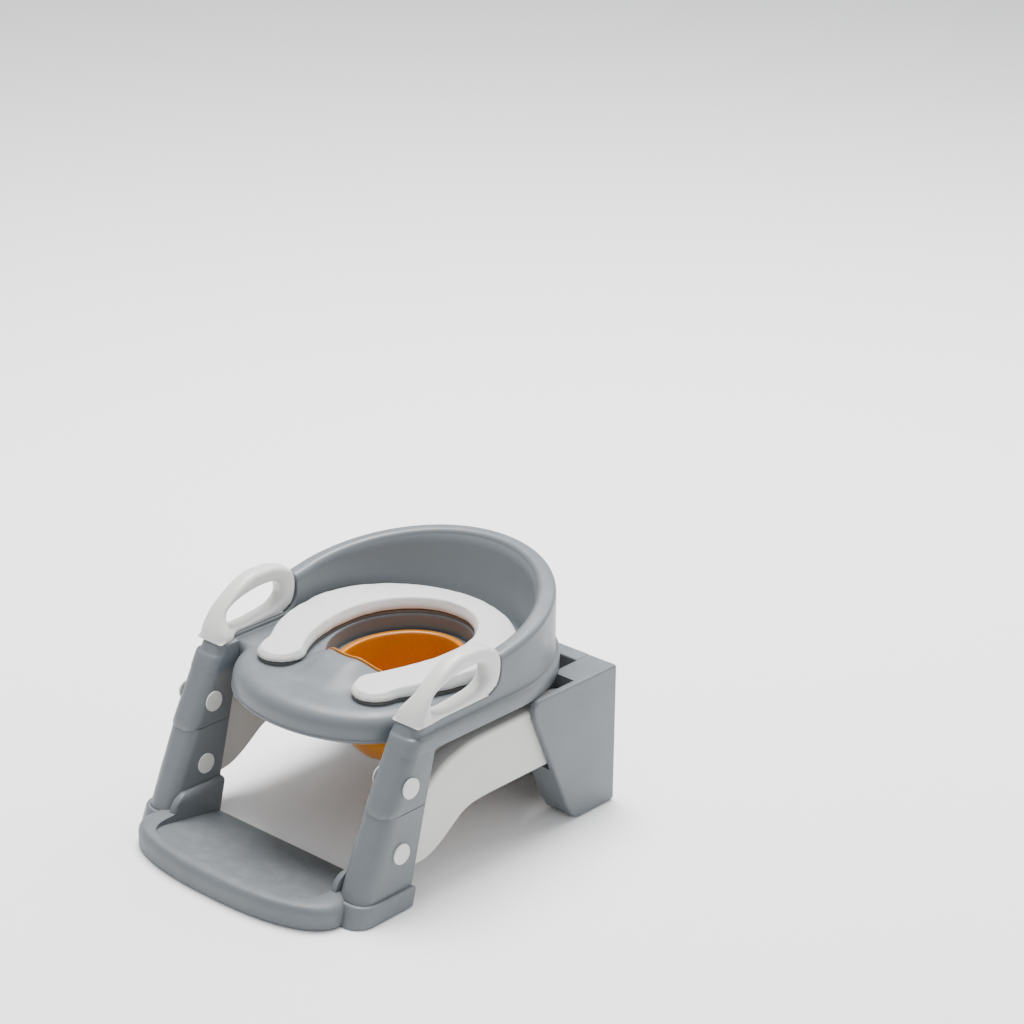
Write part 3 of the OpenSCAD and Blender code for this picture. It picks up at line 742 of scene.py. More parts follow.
def cut_away(piece, profile, x0, x1):
    """Cuts a prism, drawn in Y and Z, out of a piece between x0 and x1."""
    count = len(profile)
    points = [(x, y, z) for x in (x0, x1) for y, z in profile]
    faces = [tuple(range(count)), tuple(range(2 * count - 1, count - 1, -1))]
    faces += [(i, (i + 1) % count, count + (i + 1) % count, count + i) for i in range(count)]
    cutter = new_object("cutter", points, faces)
    boolean = piece.modifiers.new("Cut", "BOOLEAN")
    boolean.operation, boolean.object, boolean.solver = "DIFFERENCE", cutter, "EXACT"
    settle(piece)
    bpy.data.objects.remove(cutter)


def settle(piece):
    """Applies a piece's modifiers to its mesh."""
    bpy.context.view_layer.update()
    seen = piece.evaluated_get(bpy.context.evaluated_depsgraph_get())
    mesh = bpy.data.meshes.new_from_object(seen)
    piece.modifiers.clear()
    piece.data = mesh


def hollow_leg(piece, side):
    """Opens a leg at the back and below, where the folding leg swings."""
    rear = [(-54.5, 110.4), (-16, 138), (2, 138), (2, -2)]
    for depth, margin in ((8.6, 3.6), (4.4, 7.4)):
        profile = [(front_at(-2) + depth, -2), (front_at(110) + depth + 1.4, 110.4)] + rear
        x0, x1 = sorted((side * (LEG_IN + margin), side * (LEG_OUT - margin)))
        cut_away(piece, profile, x0, x1)
    piece.data.set_sharp_from_angle(angle=math.radians(50))


# ---- step ----
def bulge_point(turn, inset=0.0):
    """Point of the step's front outline: turn runs from 0 at the right end to pi at the left end."""
    c, s = math.cos(turn), math.sin(turn)
    x = (155.0 - inset) * math.copysign(abs(c) ** 0.83, c)
    return -x, FRONT_Y - (57.4 - inset) * abs(s) ** 0.83


def tread_edge(turn):
    """Point of the tread's inset outline for the same turn: straight in front, round corners, then back."""
    c, s = math.cos(turn), math.sin(turn)
    x = -124.5 * math.copysign(abs(c) ** 0.42, c)
    return x, -119.0 - 62.0 * abs(s) ** 0.42


def tread_z(y):
    """Height of the sloping tread at y."""
    return 7.5 + (y + 64.0) * (26.4 - 7.5) / (-181.0 + 64.0)


def build_step(sizes):
    """Step: sloping tread set into a rounded border, its front apron, and the collars round both legs."""
    turns = np.concatenate(
        [
            np.linspace(0, 0.35, 22)[:-1],
            np.linspace(0.35, math.pi - 0.35, 70),
            np.linspace(math.pi - 0.35, math.pi, 22)[1:],
        ]
    )
    columns = []
    for turn in turns:
        (fx, fy), (ix, iy) = bulge_point(turn), tread_edge(turn)
        rear_x = ix * (1 + 0.06 * smooth((abs(ix) - 90) / 34))
        profile = [
            (rear_x, -64.6, 2.0), (rear_x, -64.0, 3.0), (rear_x, -64.0, 6.4), (rear_x, -64.5, 7.3),
            (rear_x, -65.4, 7.8),
        ]
        for share in np.linspace(0.1, 1, 8):
            x, y = rear_x + (ix - rear_x) * share, -65.4 + (iy + 65.4) * share
            profile.append((x, y, tread_z(y) + 0.05))
        top = 27.6
        low = tread_z(iy)
        profile.append((ix, iy, low + 0.35 * (top - low)))
        profile.append((ix + (fx - ix) * 0.005, iy + (fy - iy) * 0.005, top - 0.25))
        profile.append((ix + (fx - ix) * 0.02, iy + (fy - iy) * 0.02, top))
        for share, drop in ((0.1, -0.25), (0.25, -0.5), (0.42, -0.45), (0.55, 0.0)):
            profile.append((ix + (fx - ix) * share, iy + (fy - iy) * share, top - drop))
        bx, by = ix + (fx - ix) * 0.55, iy + (fy - iy) * 0.55
        for a in np.radians(np.linspace(12, 90, 9)):
            share, drop = math.sin(a), 1 - math.cos(a)
            profile.append((bx + (fx - bx) * share, by + (fy - by) * share, top - (top - 15.5) * drop))
        for z in (11.0, 6.0, 2.2):
            profile.append((fx, fy, z))
        for inset, z in ((0.5, 1.3), (1.4, 1.0), (2.6, 1.0), (3.0, 1.6), (3.0, 13.0), (9.0, 20.0)):
            x, y = bulge_point(turn, inset)
            profile.append((x, y, z))
        profile.append((ix, iy, min(tread_z(iy) - 3.0, 22.0)))
        profile.append((rear_x, -68.0, 4.6))
        profile.append((rear_x, -66.6, 2.0))
        columns.append(profile)
    points, faces = ring_solid(np.array(columns))
    add_piece("step_tread", points, faces, "seat_frame", "tread", ("step_board",), 50)
    for side, word in SIDES:
        build_collar(side, word)
    build_dots(sizes)


def build_collar(side, word):
    """Collar round a front leg's foot: a wall in front and outside, and a taller block inside."""
    rings = []
    heights = (
        (1.0, 0.8), (1.6, 0.2), (8.0, 0.0), (16.0, 0.0), (22.4, 0.0), (23.4, 0.3), (24.0, 1.1),
        (24.0, 3.2), (23.0, 3.9), (6.0, 3.9), (1.0, 3.9),
    )
    for z, inset in heights:
        front = front_at(z) - 4.6 + inset
        outer = STEP_HALF - 2.6 - inset * 1.6
        corner = 23.0 - inset
        path = [(outer, rear_at(z) - 0.4 * inset)]
        for a in np.radians(np.linspace(0, -90, 9)):
            path.append((outer - corner + corner * math.cos(a), front + corner + corner * math.sin(a)))
        path.append((150.0, front))
        path.append((138.0, front + 0.2))
        path.append((131.0, front + 1.2))
        rings.append([(x, y, z) for x, y in path])
    rings = np.array(rings)
    points, faces = ring_solid(rings.transpose(1, 0, 2))
    add_piece(
        f"step_collar_{word}", mirrored(points, side), faces, "seat_frame", "shell", ("step_board",), 40
    )
    rings = []
    for z, inset in (
        (1.0, 0.4), (2.0, 0.0), (14.0, 0.0), (26.0, 0.0), (36.0, 0.0), (41.0, 0.0), (43.6, 0.7),
        (45.4, 2.2), (46.6, 4.4), (46.9, 6.0),
    ):
        slope = 6.0 * smooth((z - 36) / 11)
        front = front_at(z) - 2.0 + slope
        flat = rounded_rectangle(
            LEG_IN - 8.0 + inset,
            LEG_IN + 0.4,
            front + inset,
            rear_at(z) - inset * 0.5,
            (0.4, 0.4, 2.0, 4.0),
            5,
        )
        rings.append([(x, y, z) for x, y in flat])
    points, faces = ring_solid(np.array(rings))
    add_piece(
        f"collar_block_{word}", mirrored(points, side), faces, "seat_frame", "shell", ("step_board",), 50
    )


def hexagon(x, y, radius):
    """Foot and top outline of one small dot."""
    wide = [(x + radius * math.cos(a), y + radius * math.sin(a)) for a in np.radians(range(0, 360, 60))]
    return wide, [(x + (u - x) * 0.6, y + (v - y) * 0.6) for u, v in wide]


def build_dots(sizes):
    """Anti-slip dots raised on the tread, as one piece."""
    pitch, radius, rise = sizes.dot_pitch / MM, sizes.dot_width / MM / 2, 0.35
    edge = np.array([tread_edge(t) for t in np.linspace(0, math.pi, 400)])
    points, faces = [], []
    for row, y in enumerate(np.arange(-174.0, -72.0, pitch * HEX_ROW)):
        for x in np.arange(-116.0 + (row % 2) * pitch / 2, 116.1, pitch):
            front = np.interp(x, edge[:, 0], edge[:, 1])
            if y < front + 5.0:
                continue
            wide, narrow = hexagon(x, y, radius)
            z = tread_z(y)
            rings = [[(u, v, z - 0.3) for u, v in wide], [(u, v, z + rise) for u, v in narrow]]
            gather(points, faces, flat_capped(rings))
    add_piece("tread_dots", points, faces, "seat_frame", "tread", ("step_board",), 70)


# ---- prisms with rounded edges ----
def filleted(corners, radii, steps=6):
    """Closed outline through corners, each rounded with its own radius."""
    out, count = [], len(corners)
    for i, r in enumerate(radii):
        p, a, b = (np.array(corners[k], float) for k in (i, i - 1, (i + 1) % count))
        u, v = (a - p) / np.linalg.norm(a - p), (b - p) / np.linalg.norm(b - p)
        half = math.acos(np.clip(u @ v, -1, 1)) / 2
        if math.pi / 2 - half < 0.01:
            out += [p + u * 0.01 * (steps - k) for k in range(steps + 1)]
            continue
        run = min(r / math.tan(half), 0.48 * min(np.linalg.norm(a - p), np.linalg.norm(b - p)))
        r = run * math.tan(half)
        centre = p + (u + v) / np.linalg.norm(u + v) * (r / math.sin(half))
        s, e = p + u * run - centre, p + v * run - centre
        for k in range(steps + 1):
            d = s * (1 - k / steps) + e * (k / steps)
            out.append(centre + d / np.linalg.norm(d) * r)
    return np.array(out)


def inset_line(line, distance):
    """A closed outline moved inwards; it runs anticlockwise."""
    before, after = line - np.roll(line, 1, axis=0), np.roll(line, -1, axis=0) - line
    before /= np.linalg.norm(before, axis=1)[:, None]
    after /= np.linalg.norm(after, axis=1)[:, None]
    along = before + after
    along /= np.linalg.norm(along, axis=1)[:, None]
    lean = np.clip((along * after).sum(1), 0.5, 1)
    return line + np.stack([-along[:, 1], along[:, 0]], -1) * (distance / lean)[:, None]


def prism_along_x(outline, x0, x1, edge, steps=5):
    """Points and faces of an outline in Y and Z swept from x0 to x1, with both ends' edges rounded."""
    area = np.cross(outline, np.roll(outline, -1, axis=0)).sum()
    line = outline if area > 0 else outline[::-1]
    rings = []
    for a in np.radians(np.linspace(0, 90, steps + 1)):
        flat = inset_line(line, edge * (1 - math.sin(a)))
        rings.append(np.column_stack([np.full(len(flat), x0 + edge * (1 - math.cos(a))), flat]))
    for a in np.radians(np.linspace(90, 0, steps + 1)):
        flat = inset_line(line, edge * (1 - math.sin(a)))
        rings.append(np.column_stack([np.full(len(flat), x1 - edge * (1 - math.cos(a))), flat]))
    return flat_capped(rings)


def flat_capped(rings):
    """Closed solid through rings, with one flat many-sided face at each end."""
    rings = np.array(rings, float)
    rows, columns = rings.shape[:2]
    faces = grid_faces(rows, columns)
    faces.append(tuple(range(columns - 1, -1, -1)))
    faces.append(tuple((rows - 1) * columns + k for k in range(columns)))
    return rings.reshape(-1, 3), faces


# ---- handles ----
def handle_outline():
    """Outer outline of a handle in Y and Z, anticlockwise from its rear foot."""
    base = SHOULDER_Z + 0.15
    line = [
        (67.5, 0.0), (72.5, 1.0), (77.8, 4.0), (82.4, 9.0), (85.6, 15.5), (87.4, 23.5), (87.9, 31.0),
        (87.2, 38.5),
    ]
    line += [
        (84.6, 45.5), (80.0, 51.0), (73.5, 55.3), (66.0, 58.4), (58.0, 60.5), (50.0, 61.7), (40.0, 62.0),
        (31.0, 62.0),
    ]
    line = [(y, base + z) for y, z in spline(line, 3)]
    for a in np.radians(np.linspace(94, 180, 26)):
        line.append((GRIP_Y - 76.0 * abs(math.cos(a)) ** 1.33, base + GRIP_RISE * abs(math.sin(a)) ** 1.33))
    line += [(y, base) for y in np.linspace(-42, 64, 20)]
    return np.array(line)


def build_handle(side, word):
    """Handle: a loop with a soft oval section whose front foot widens over the whole leg."""
    outline = handle_outline()
    base = SHOULDER_Z + 0.15
    centre = np.array([22.0, 228.0])
    turn = math.radians(7)
    rings = []
    for y, z in outline:
        direction = np.array([y, z]) - centre
        length = np.linalg.norm(direction)
        direction /= length
        u = direction[0] * math.cos(turn) + direction[1] * math.sin(turn)
        v = -direction[0] * math.sin(turn) + direction[1] * math.cos(turn)
        hole = (abs(u / 45.0) ** 2.67 + abs(v / 17.5) ** 2.67) ** (-1 / 2.67)
        inside, outside = centre + direction * hole, centre + direction * length
        on_base = z < base + 0.01
        on_end = y > 80
        ring = []
        for k in range(28):
            q = 2 * math.pi * k / 28
            c, s = math.cos(q), math.sin(q)
            power = 2.9 if c < 0 else (14.0 if on_base else (5.0 if on_end else 2.9))
            along = math.copysign(abs(c) ** (2 / power), c)
            across = math.copysign(
                abs(s) ** (2 / (2.9 if power < 6 else 9.0 if on_base and c > 0 else 2.9)), s
            )
            p = (inside + outside) / 2 + (outside - inside) / 2 * along
            wide = smooth((-4.0 - p[0]) / 30.0) * smooth((238.0 - p[1]) / 32.0)
            x0 = 149.5 + (133.3 - 149.5) * wide
            x1 = 172.4 + (175.2 - 172.4) * wide
            ring.append(((x0 + x1) / 2 + (x1 - x0) / 2 * across, p[0], p[1]))
        rings.append(ring)
    points = np.array(rings).reshape(-1, 3)
    faces = grid_faces(len(rings), 28, closed_rows=True)
    add_piece(
        f"grip_{word}", mirrored(points, side), faces, "seat_frame", "white", (f"handle_{word}",), 60
    )


# ---- bolts ----
CROSS_DEPTH = 0.75
HEAD_RISE, CAP_RISE = 0.6, 0.4


def cross_arm(across, along):
    """How deep one arm of the cross is at a place on the cap, from 0 to 1."""
    return math.exp(-((across / 0.8) ** 2)) * smooth((5.6 - abs(along)) / 1.2)


def build_fastener(name, node, side, outwards, place):
    """Flat round cap with a shallow cross, and its shank."""
    y0, z0 = place
    x0 = LEG_OUT if outwards else LEG_IN
    sign = 1 if outwards else -1
    stem = [(4.0, -46.0), (4.0, -0.2)] if outwards else [(7.0, 0.0)]
    cap = [
        (11.2, 0.0), (11.9, 0.25), (12.0, 0.8), (12.0, 2.8), (11.8, 3.5), (11.3, 4.05), (10.6, 4.35),
        (10.0, 4.25),
    ]
    cap += [(9.6, 4.05), (9.2, 4.2)] + [
        (r, 4.35 + 0.55 * (1 - (r / 9.0) ** 2)) for r in np.arange(8.6, 0.3, -0.55)
    ]
    rings = []
    for r, h in stem + cap:
        ring = []
        for a in np.linspace(0, 2 * math.pi, 72, endpoint=False):
            u, v = r * math.cos(a), r * math.sin(a)
            sink = 0.0
            if h > 4.3 and r < 9:
                sink = CROSS_DEPTH * max(cross_arm(u, v), cross_arm(v, u))
            ring.append((x0 + sign * (h - sink) * (HEAD_RISE if outwards else CAP_RISE), y0 + u, z0 + v))
        rings.append(ring)
    points, faces = ring_solid(np.array(rings))
    add_piece(name, mirrored(points, side), faces, "seat_frame", "white", (node,), 65)


# ---- pot ----
def build_pot(sizes):
    """Lift-out bowl with a rolled flat rim, and the splash lip that stands up behind the guard."""
    a, b, top, depth, wall = 72.0, 84.0, 181.0, 106.0, 2.6
    count = 144
    turns = np.linspace(0, 2 * math.pi, count, endpoint=False)
    rings = []

    def ring(inset, z):
        rings.append(
            np.column_stack(
                [(a - inset) * np.cos(turns), HOLE_Y + (b - inset) * np.sin(turns), np.full(count, z)]
            )
        )

    def bulge(share):
        return 5.0 + 25.6 * (0.2 * share + 0.8 * share**6)

    ring(56.0, top - depth + 1.2)
    ring(44.0, top - depth + 1.0)
    ring(40.0, top - depth)
    ring(34.0, top - depth)
    for share in (0.995, 0.98, 0.95, 0.91, 0.86, 0.8, 0.7, 0.6, 0.5, 0.4, 0.3, 0.2, 0.1, 0.05):
        ring(bulge(share), top - depth * share)
    ring(5.0, top - 3.6)
    ring(4.4, top - 2.9)
    ring(2.0, top - 2.6)
    ring(0.6, top - 2.4)
    ring(0.0, top - 1.5)
    ring(0.2, top - 0.6)
    ring(1.0, top)
    ring(5.0, top + 0.1)
    ring(6.6, top - 0.1)
    ring(7.4, top - 0.8)
    for share in (0.03, 0.1, 0.2, 0.3, 0.4, 0.5, 0.6, 0.7, 0.8, 0.86, 0.91, 0.945, 0.965, 0.975):
        ring(bulge(share) + wall, top - depth * share)
    ring(36.0, top - depth + wall)
    ring(44.0, top - depth + wall)
    points, faces = ring_solid(np.array(rings))
    add_piece("pot_bowl", points, faces, "pot", "pot", ("potty",), 60)
    columns = []
    for turn in np.linspace(-math.pi / 2 - 0.72, -math.pi / 2 + 0.72, 80):
        c, s = math.cos(turn), math.sin(turn)
        end = smooth((0.72 - abs(turn + math.pi / 2)) / 0.12)
        x, y = (HOLE_A - 1.2) * c, HOLE_Y + (HOLE_B - 1.2) * s
        rise = DECK_Z + guard_rise(x, y, sizes.guard_height / MM) + 0.9
        rise = 181.5 + (rise - 181.5) * max(end, 0.02)
        profile = []
        for inset, z in (
            (1.2, rise - 0.9), (1.4, rise - 0.25), (2.0, rise), (2.8, rise - 0.25), (3.1, rise - 0.9),
            (3.5, rise - 6), (9.0, 182.0), (12.0, 176.0), (9.5, 176.0), (6.0, 179.5),
            (1.3, max(rise - 14, 181.2)),
        ):
            profile.append(((HOLE_A - inset) * c, HOLE_Y + (HOLE_B - inset) * s, min(z, rise)))
        columns.append(profile)
    points, faces = ring_solid(np.array(columns))
    add_piece("pot_splash_lip", points, faces, "pot", "pot", ("potty",), 60)


# ---- folding legs ----
def arc_points(centre, radius, start, end):
    """Forty points of an arc in Y and Z, its angles in degrees."""
    turns = np.radians(np.linspace(start, end, 40))
    return [(centre[0] + radius * math.cos(a), centre[1] + radius * math.sin(a)) for a in turns]


def folding_outline():
    """Side outline of a folding leg in Y and Z, anticlockwise."""
    (ky, kz), ay = KNEE, ANKLE[0]
    line = arc_points(KNEE, KNEE_ROUND, 76, 293)
    control = [(ky + 12.2, kz - 26.3), (-48, 41), (-32, 41.5), (-18, 46), (-4, 53.5), (12, 64.5), (26, 74)]
    control += [(40, 79.5), (56, 81.4), (ky + 151, 82), (ay - 20, 82)]
    line += spline(control, 8)
    line += arc_points(ANKLE, ANKLE_ROUND, -90, 90)
    control = [(ay - 20, 160), (ky + 150, 160), (ky + 133, 159.8), (ky + 115, 158.2), (ky + 98, 154.5)]
    control += [(ky + 74, 146.5), (ky + 50, 131.5), (ky + 28, 113.5), (ky + 10.5, 96.8)]
    line += spline(control, 8)
    return np.array(line)


def spline(control, steps):
    """Smooth line through control points."""
    p = np.array([control[0], *control, control[-1]], float)
    out = []
    for i in range(1, len(p) - 2):
        for t in np.linspace(0, 1, steps, endpoint=False):
            a, b, c, d = p[i - 1 : i + 3]
            out.append(
                0.5 * (
                    2 * b + (c - a) * t + (2 * a - 5 * b + 4 * c - d) * t * t + (3 * b - a - 3 * c + d) * t**3
                )
            )
    out.append(p[-1])
    return [tuple(q) for q in out]


def build_folding_leg(side, word):
    """Smooth hollow-moulded folding leg with broad rounded edges."""
    points, faces = prism_along_x(folding_outline(), FOLD_IN, FOLD_OUT, 5.0, 6)
    add_piece(
        f"swing_leg_{word}",
        mirrored(points, side),
        faces,
        "folding_legs",
        "legs",
        (f"folding_leg_{word}",),
        50,
    )


# ---- rear stand ----
def stand_box(x0, x1, y0, y1, z0, z1, edge):
    """Box with rounded edges, as a prism along X."""
    outline = filleted([(y0, z0), (y1, z0), (y1, z1), (y0, z1)], [edge] * 4, 5)
    return prism_along_x(outline, x0, x1, edge, 4)


def build_stand(sizes):
    """Rear stand: two cheeks with their slots, the tread plate between them and its ribbed back."""
    corners = [(215, 1), (275, 1), (275, 173.7), (133.6, 173.7), (135.4, 152), (191, 24), (203, 5.4)]
    outline = filleted(corners, [5, 3.5, 4, 15, 14, 22, 9], 8)
    for side, word in SIDES:
        points, faces = prism_along_x(outline, CHEEK_IN, CHEEK_OUT, 3.2, 5)
        cheek = add_piece(
            f"stand_cheek_{word}", mirrored(points, side), faces, "rear_stand", "shell", ("stand",), 40
        )
        x0, x1 = sorted((side * 143.5, side * 172.5))
        cut_away(cheek, [(100, 75.5), (194, 75.5), (208, 153.7), (208, 200), (100, 200)], x0, x1)
        x0, x1 = sorted((side * 154.8, side * 163.2))
        cut_away(cheek, [(218.6, -2), (267.4, -2), (267.4, 4.3), (218.6, 4.3)], x0, x1)
        cheek.data.set_sharp_from_angle(angle=math.radians(40))
        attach(cheek, "rear_stand")
    points, faces = stand_box(-139.0, 139.0, 252.0, 274.8, 1.2, 173.5, 2.4)
    plate = add_piece("stand_plate", points, faces, "rear_stand", "tread", ("stand",), 40)
    cut_away(plate, [(255.5, 4.6), (290, 4.6), (290, 170.2), (255.5, 170.2)], -135.0, 135.0)
    plate.data.set_sharp_from_angle(angle=math.radians(40))
    points, faces = [], []
    for x in range(-92, 93, 46):
        gather(points, faces, stand_box(x - 1.0, x + 1.0, 255.0, 274.6, 4.0, 171.0, 0.5))
    for z in (45.0, 87.0, 129.0):
        gather(points, faces, stand_box(-135.4, 135.4, 255.0, 274.6, z - 1.0, z + 1.0, 0.5))
    add_piece("stand_ribs", points, faces, "rear_stand", "shell", ("stand",), 40)
    points, faces = [], []
    pitch, radius = sizes.dot_pitch / MM, sizes.dot_width / MM / 2
    for row, z in enumerate(np.arange(14.0, 162.0, pitch * HEX_ROW)):
        for x in np.arange(-122.0 + (row % 2) * pitch / 2, 122.1, pitch):
            wide, narrow = hexagon(x, z, radius)
            rings = [[(u, 252.3, v) for u, v in wide], [(u, 251.65, v) for u, v in narrow]]
            gather(points, faces, flat_capped(rings))
    add_piece("plate_dots", points, faces, "rear_stand", "tread", ("stand",), 70)


def gather(points, faces, made):
    """Adds one solid's points and faces to lists."""
    base = len(points)
    points.extend(tuple(p) for p in made[0])
    faces.extend(tuple(base + k for k in f) for f in made[1])


# ---- cushion ----
def swell(piece, growth, pressure, fixed_below):
    """Fills a closed pad with air by cloth simulation, caps how far it swells and keeps the result."""
    mesh = piece.data
    rest = np.empty(len(mesh.vertices) * 3, np.float32)
    mesh.vertices.foreach_get("co", rest)
    rest = rest.reshape(-1, 3)
    held = piece.vertex_groups.new(name="resting")
    held.add([int(i) for i in np.where(rest[:, 2] < fixed_below)[0]], 1.0, "REPLACE")
    cloth = piece.modifiers.new("Cloth", "CLOTH")
    cloth.settings.quality = 6
    cloth.settings.mass = 0.3
    cloth.settings.tension_stiffness = cloth.settings.compression_stiffness = 22
    cloth.settings.bending_stiffness = 3.0
    cloth.settings.use_pressure = True
    cloth.settings.uniform_pressure_force = pressure
    cloth.settings.vertex_group_mass = "resting"
    cloth.settings.effector_weights.gravity = 0
    scene = bpy.context.scene
    for number in range(1, 21):
        scene.frame_set(number)
    seen = piece.evaluated_get(bpy.context.evaluated_depsgraph_get()).to_mesh()
    moved = np.empty(len(seen.vertices) * 3, np.float32)
    seen.vertices.foreach_get("co", moved)
    step = moved.reshape(-1, 3) - rest
    length = np.linalg.norm(step, axis=1)
    share = np.where(length > growth, growth / np.maximum(length, 1e-9), 1.0)
    piece.modifiers.remove(cloth)
    mesh.vertices.foreach_set("co", (rest + step * share[:, None]).astype(np.float32).ravel())
    mesh.update()
    scene.frame_set(1)


def relax(piece, times, amount=0.5):
    """Evens out a mesh's small bumps."""
    bm = bmesh.new()
    bm.from_mesh(piece.data)
    for _ in range(times):
        bmesh.ops.smooth_vert(
            bm, verts=bm.verts, factor=amount, use_axis_x=True, use_axis_y=True, use_axis_z=True
        )
    bm.to_mesh(piece.data)
    bm.free()


def build_cushion(sizes):
    """Horseshoe cushion swollen from a closed pad, with a gathered seam round its two front tips."""
    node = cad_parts["cushion"]
    low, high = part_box("cushion")
    mesh = node.data.copy()
    pad = bpy.data.objects.new("cushion_pad", mesh)
    bpy.context.scene.collection.objects.link(pad)
    remesh = pad.modifiers.new("Voxels", "REMESH")
    remesh.mode, remesh.voxel_size = "VOXEL", 0.0042
    settle(pad)
    relax(pad, 3)
    points = np.empty(len(pad.data.vertices) * 3, np.float32)
    normals = np.empty(len(pad.data.vertices) * 3, np.float32)
    pad.data.vertices.foreach_get("co", points)
    pad.data.vertices.foreach_get("normal", normals)
    points, normals = points.reshape(-1, 3), normals.reshape(-1, 3)
    top = np.clip((points[:, 2] - low.z) / (high.z - low.z), 0, 1)
    sides = np.array([1.0, 1.0, 0.0])
    points -= normals * sides * (0.0035 + 0.0065 * top[:, None] ** 2)
    tip = smooth((0.000 - points[:, 1]) / 0.085)
    points[:, 2] = low.z + (points[:, 2] - low.z) * (0.8 - 0.3 * tip)
    pad.data.vertices.foreach_set("co", points.ravel())
    pad.data.update()
    swell(pad, sizes.cushion_growth, 4.0, low.z + 0.0012)
    relax(pad, 2)
    division = pad.modifiers.new("Division", "SUBSURF")
    division.levels = division.render_levels = 1
    settle(pad)
    finish_piece(pad, "cushion", "skin", ("cushion",))
    build_gathers(pad, low.z)


def build_gathers(pad, floor):
    """Small pleats and stitches where the cover is gathered round each front tip."""
    tree = BVHTree.FromObject(pad, bpy.context.evaluated_depsgraph_get())
    points, faces = [], []
    for side in (1, -1):
        for angle in np.radians(np.arange(196, 352, 3.0)):
            direction = Vector((side * math.cos(angle), math.sin(angle), 0.0))
            centre = Vector((side * 0.074, (-8.0 - LEG_LINE_Y) * MM, 0.0))
            ridge = []
            for z in np.linspace(0.0016, 0.0078, 6):
                start = centre + direction * 0.06 + Vector((0, 0, floor + z))
                hit = tree.ray_cast(start, -direction)[0]
                if hit is None:
                    break
                ridge.append(hit)
            if len(ridge) < 6:
                continue
            across = Vector((-direction.y, direction.x, 0.0))
            rings = []
            for k, p in enumerate(ridge):
                fat = 0.00042 * math.sin(math.pi * (k + 0.6) / 6.2)
                ring = []
                for q in np.linspace(0, 2 * math.pi, 8, endpoint=False):
                    w = p + across * (fat * 1.3 * math.cos(q)) + direction * (fat * math.sin(q))
                    ring.append((w.x / MM, w.y / MM + LEG_LINE_Y, w.z / MM))
                rings.append(ring)
            gather(points, faces, ring_solid(np.array(rings)))
    add_piece("cushion_gathers", points, faces, "cushion", "thread")


# ---- stage ----
VIEW_ANGLES = (44.6, 26.6, -0.54)  # azimuth, elevation and roll, in degrees
LOOK_AT = (0.0161, 0.01845, 0.1108)
VIEW_DISTANCE = 3.236
SENSOR_WIDTH = 36.0
LENS_LENGTH = 100.09
OFF_AXIS = (-0.04461, -0.07657)  # how far the chair lies left of and under the lens's axis, as slopes


def build_stage(sizes):
    """Pale floor that curves up behind, soft lights and the camera."""
    scene = bpy.context.scene
    floor = []
    for y, z in ((-4.5, 0), (0, 0), (4.5, 0), (5.6, 0.12), (6.4, 0.6), (6.8, 1.5), (6.9, 4.5)):
        floor.append([(x, y, z) for x in (-7.0, 0.0, 7.0)])
    points = np.array(floor).reshape(-1, 3) @ np.array([[0.72, 0.70, 0], [-0.70, 0.72, 0], [0, 0, 1.0]])
    mesh = bpy.data.meshes.new("floor")
    mesh.from_pydata([tuple(p) for p in points], [], grid_faces(len(floor), 3, closed_columns=False))
    mesh.polygons.foreach_set("use_smooth", [True] * len(mesh.polygons))
    piece = bpy.data.objects.new("floor", mesh)
    scene.collection.objects.link(piece)
    material = bpy.data.materials.new("Pale floor")
    material.use_nodes = True
    t = material.node_tree
    shader = t.nodes["Principled BSDF"]
    t.links.new(
        tinted(
            t, noise(t, object_place(t), 3.0, 4.0), (0.93, 0.93, 0.93, 1), (0.95, 0.95, 0.95, 1)
        ), shader.inputs["Base Color"]
    )
    shader.inputs["Roughness"].default_value = 0.85
    shader.inputs["Specular IOR Level"].default_value = 0.1
    mesh.materials.append(material)
    world = bpy.data.worlds.new("Soft room")
    world.use_nodes = True
    world.node_tree.nodes["Background"].inputs["Color"].default_value = (0.96, 0.98, 1.0, 1)
    world.node_tree.nodes["Background"].inputs["Strength"].default_value = sizes.room_light
    scene.world = world
    for name, place, size, power, colour in (
        ("Key", (-0.7, 0.7, 3.4), 2.2, sizes.key_light, (1.0, 0.99, 0.98)),
        ("Fill", (3.0, -0.6, 1.8), 2.4, sizes.key_light * 0.06, (0.96, 0.98, 1.0)),
        ("Back", (0.4, 2.6, 2.6), 2.2, sizes.key_light * 0.25, (0.97, 0.985, 1.0)),
    ):
        light = bpy.data.lights.new(name, "AREA")
        light.shape, light.size, light.energy, light.color = "DISK", size, power, colour
        lamp = bpy.data.objects.new(name, light)
        lamp.location = place
        lamp.rotation_mode = "QUATERNION"
        lamp.rotation_quaternion = (Vector((0.0, 0.0, 0.12)) - Vector(place)).to_track_quat("-Z", "Y")
        scene.collection.objects.link(lamp)
    build_camera(scene)


